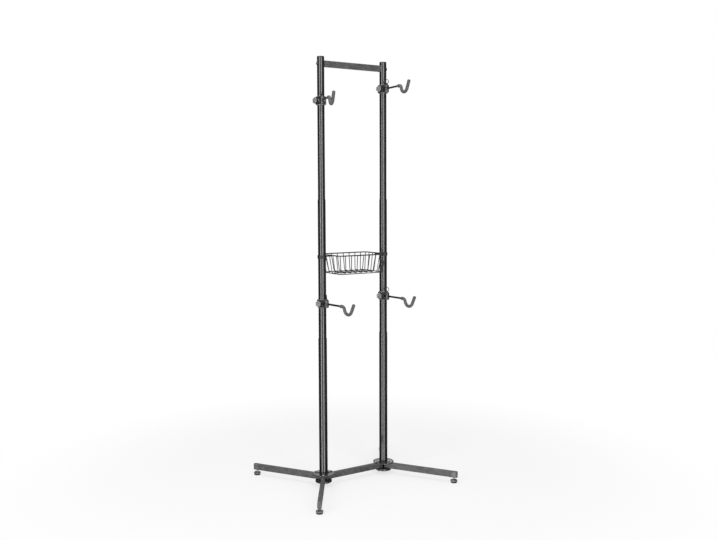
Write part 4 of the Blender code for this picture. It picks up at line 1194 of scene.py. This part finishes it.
def pale_floor():
    """Matt grey in even light, which the camera and reflections see fade to white with distance."""
    made = bpy.data.materials.new("pale_floor")
    tree = empty_tree(made)
    _, seen = looked_at(tree)
    place = put(tree, "ShaderNodeTexCoord").outputs["Object"]
    length = put(tree, "ShaderNodeVectorMath", {0: place}, operation="LENGTH").outputs["Value"]
    near, far = FLOOR_FADE
    fade = put(tree, "ShaderNodeMapRange", {
        "Value": length, "From Min": near, "From Max": far, "To Min": FLOOR_WHITE_NEAR,
    }, interpolation_type="SMOOTHSTEP").outputs["Result"]
    white = put(tree, "ShaderNodeMath", {0: fade, 1: seen}, operation="MULTIPLY").outputs[0]
    grey = (FLOOR_GREY, FLOOR_GREY, FLOOR_GREY, 1)
    colour = put(tree, "ShaderNodeMix", {0: seen, 6: grey, 7: (1, 1, 1, 1)}, data_type="RGBA").outputs[2]
    matt = put(tree, "ShaderNodeBsdfDiffuse", {"Color": colour}).outputs[0]
    glow = put(tree, "ShaderNodeEmission", {"Color": (1, 1, 1, 1)}).outputs[0]
    mixed = put(tree, "ShaderNodeMixShader", {0: white, 1: matt, 2: glow}).outputs[0]
    put(tree, "ShaderNodeOutputMaterial", {"Surface": mixed})
    return made


def make_floor():
    """Round floor just under the stand: rings (reach cos t, reach sin t), from the outermost in."""
    reach = np.array([12.0, 4.0, 2.0, 1.0, 0.0005])[:, None]
    floor = linked("floor", mesh_of("floor", [sheet(about_z(reach, -FLOOR_DROP, angles(96)), True)]))
    floor.data.materials.append(pale_floor())
    floor.visible_glossy = False


def make_card(name, start, end, heights, glow=0.0):
    """Curved screen between two bearings, seen only in reflections: dark, or glowing evenly."""
    rows = [bearing(np.linspace(start, end, 24), CARD_DISTANCE, height) for height in heights]
    card = linked(name, mesh_of(name, [sheet(np.stack(rows), False)]))
    made = even_finish(name, (0.03, 0.03, 0.03), 1.0, specular=0.0)
    shader = made.node_tree.nodes["Principled BSDF"]
    shader.inputs["Emission Color"].default_value = (1, 1, 1, 1)
    shader.inputs["Emission Strength"].default_value = glow
    made.cycles.emission_sampling = "NONE"
    card.data.materials.append(made)
    for rays in ("camera", "diffuse", "shadow", "transmission", "volume_scatter"):
        setattr(card, f"visible_{rays}", False)


def make_studio():
    """Camera, level light, soft panels, and the cards that the round gloss parts mirror."""
    bpy.context.scene.view_settings.view_transform = "Standard"
    make_camera()
    make_world()
    make_floor()
    for name, side in (("panel_left", -36), ("panel_right", 22)):
        place = bearing(side, PANEL_DISTANCE, PANEL_HEIGHT)[0]
        panel = light_panel(name, PANEL_POWER, PANEL_SIZE, place, (0, 0, 1.2))
        panel.visible_glossy = False
    light_panel("panel_top", TOP_PANEL_POWER, TOP_PANEL_SIZE, TOP_PANEL_PLACE, (0, 0, 0.5))
    make_card("card_dark_left", -165, -56, CARD_DARK_HEIGHTS)
    make_card("card_dark_right", 56, 165, CARD_DARK_HEIGHTS)
    make_card("card_glow_left", -42, -31, CARD_GLOW_HEIGHTS, CARD_GLOW)
    make_card("card_glow_right", 16, 27, CARD_GLOW_HEIGHTS, CARD_GLOW)


make_studio()
make_tubes()
make_feet()
make_hubs()
make_posts()
make_brackets()
make_basket()
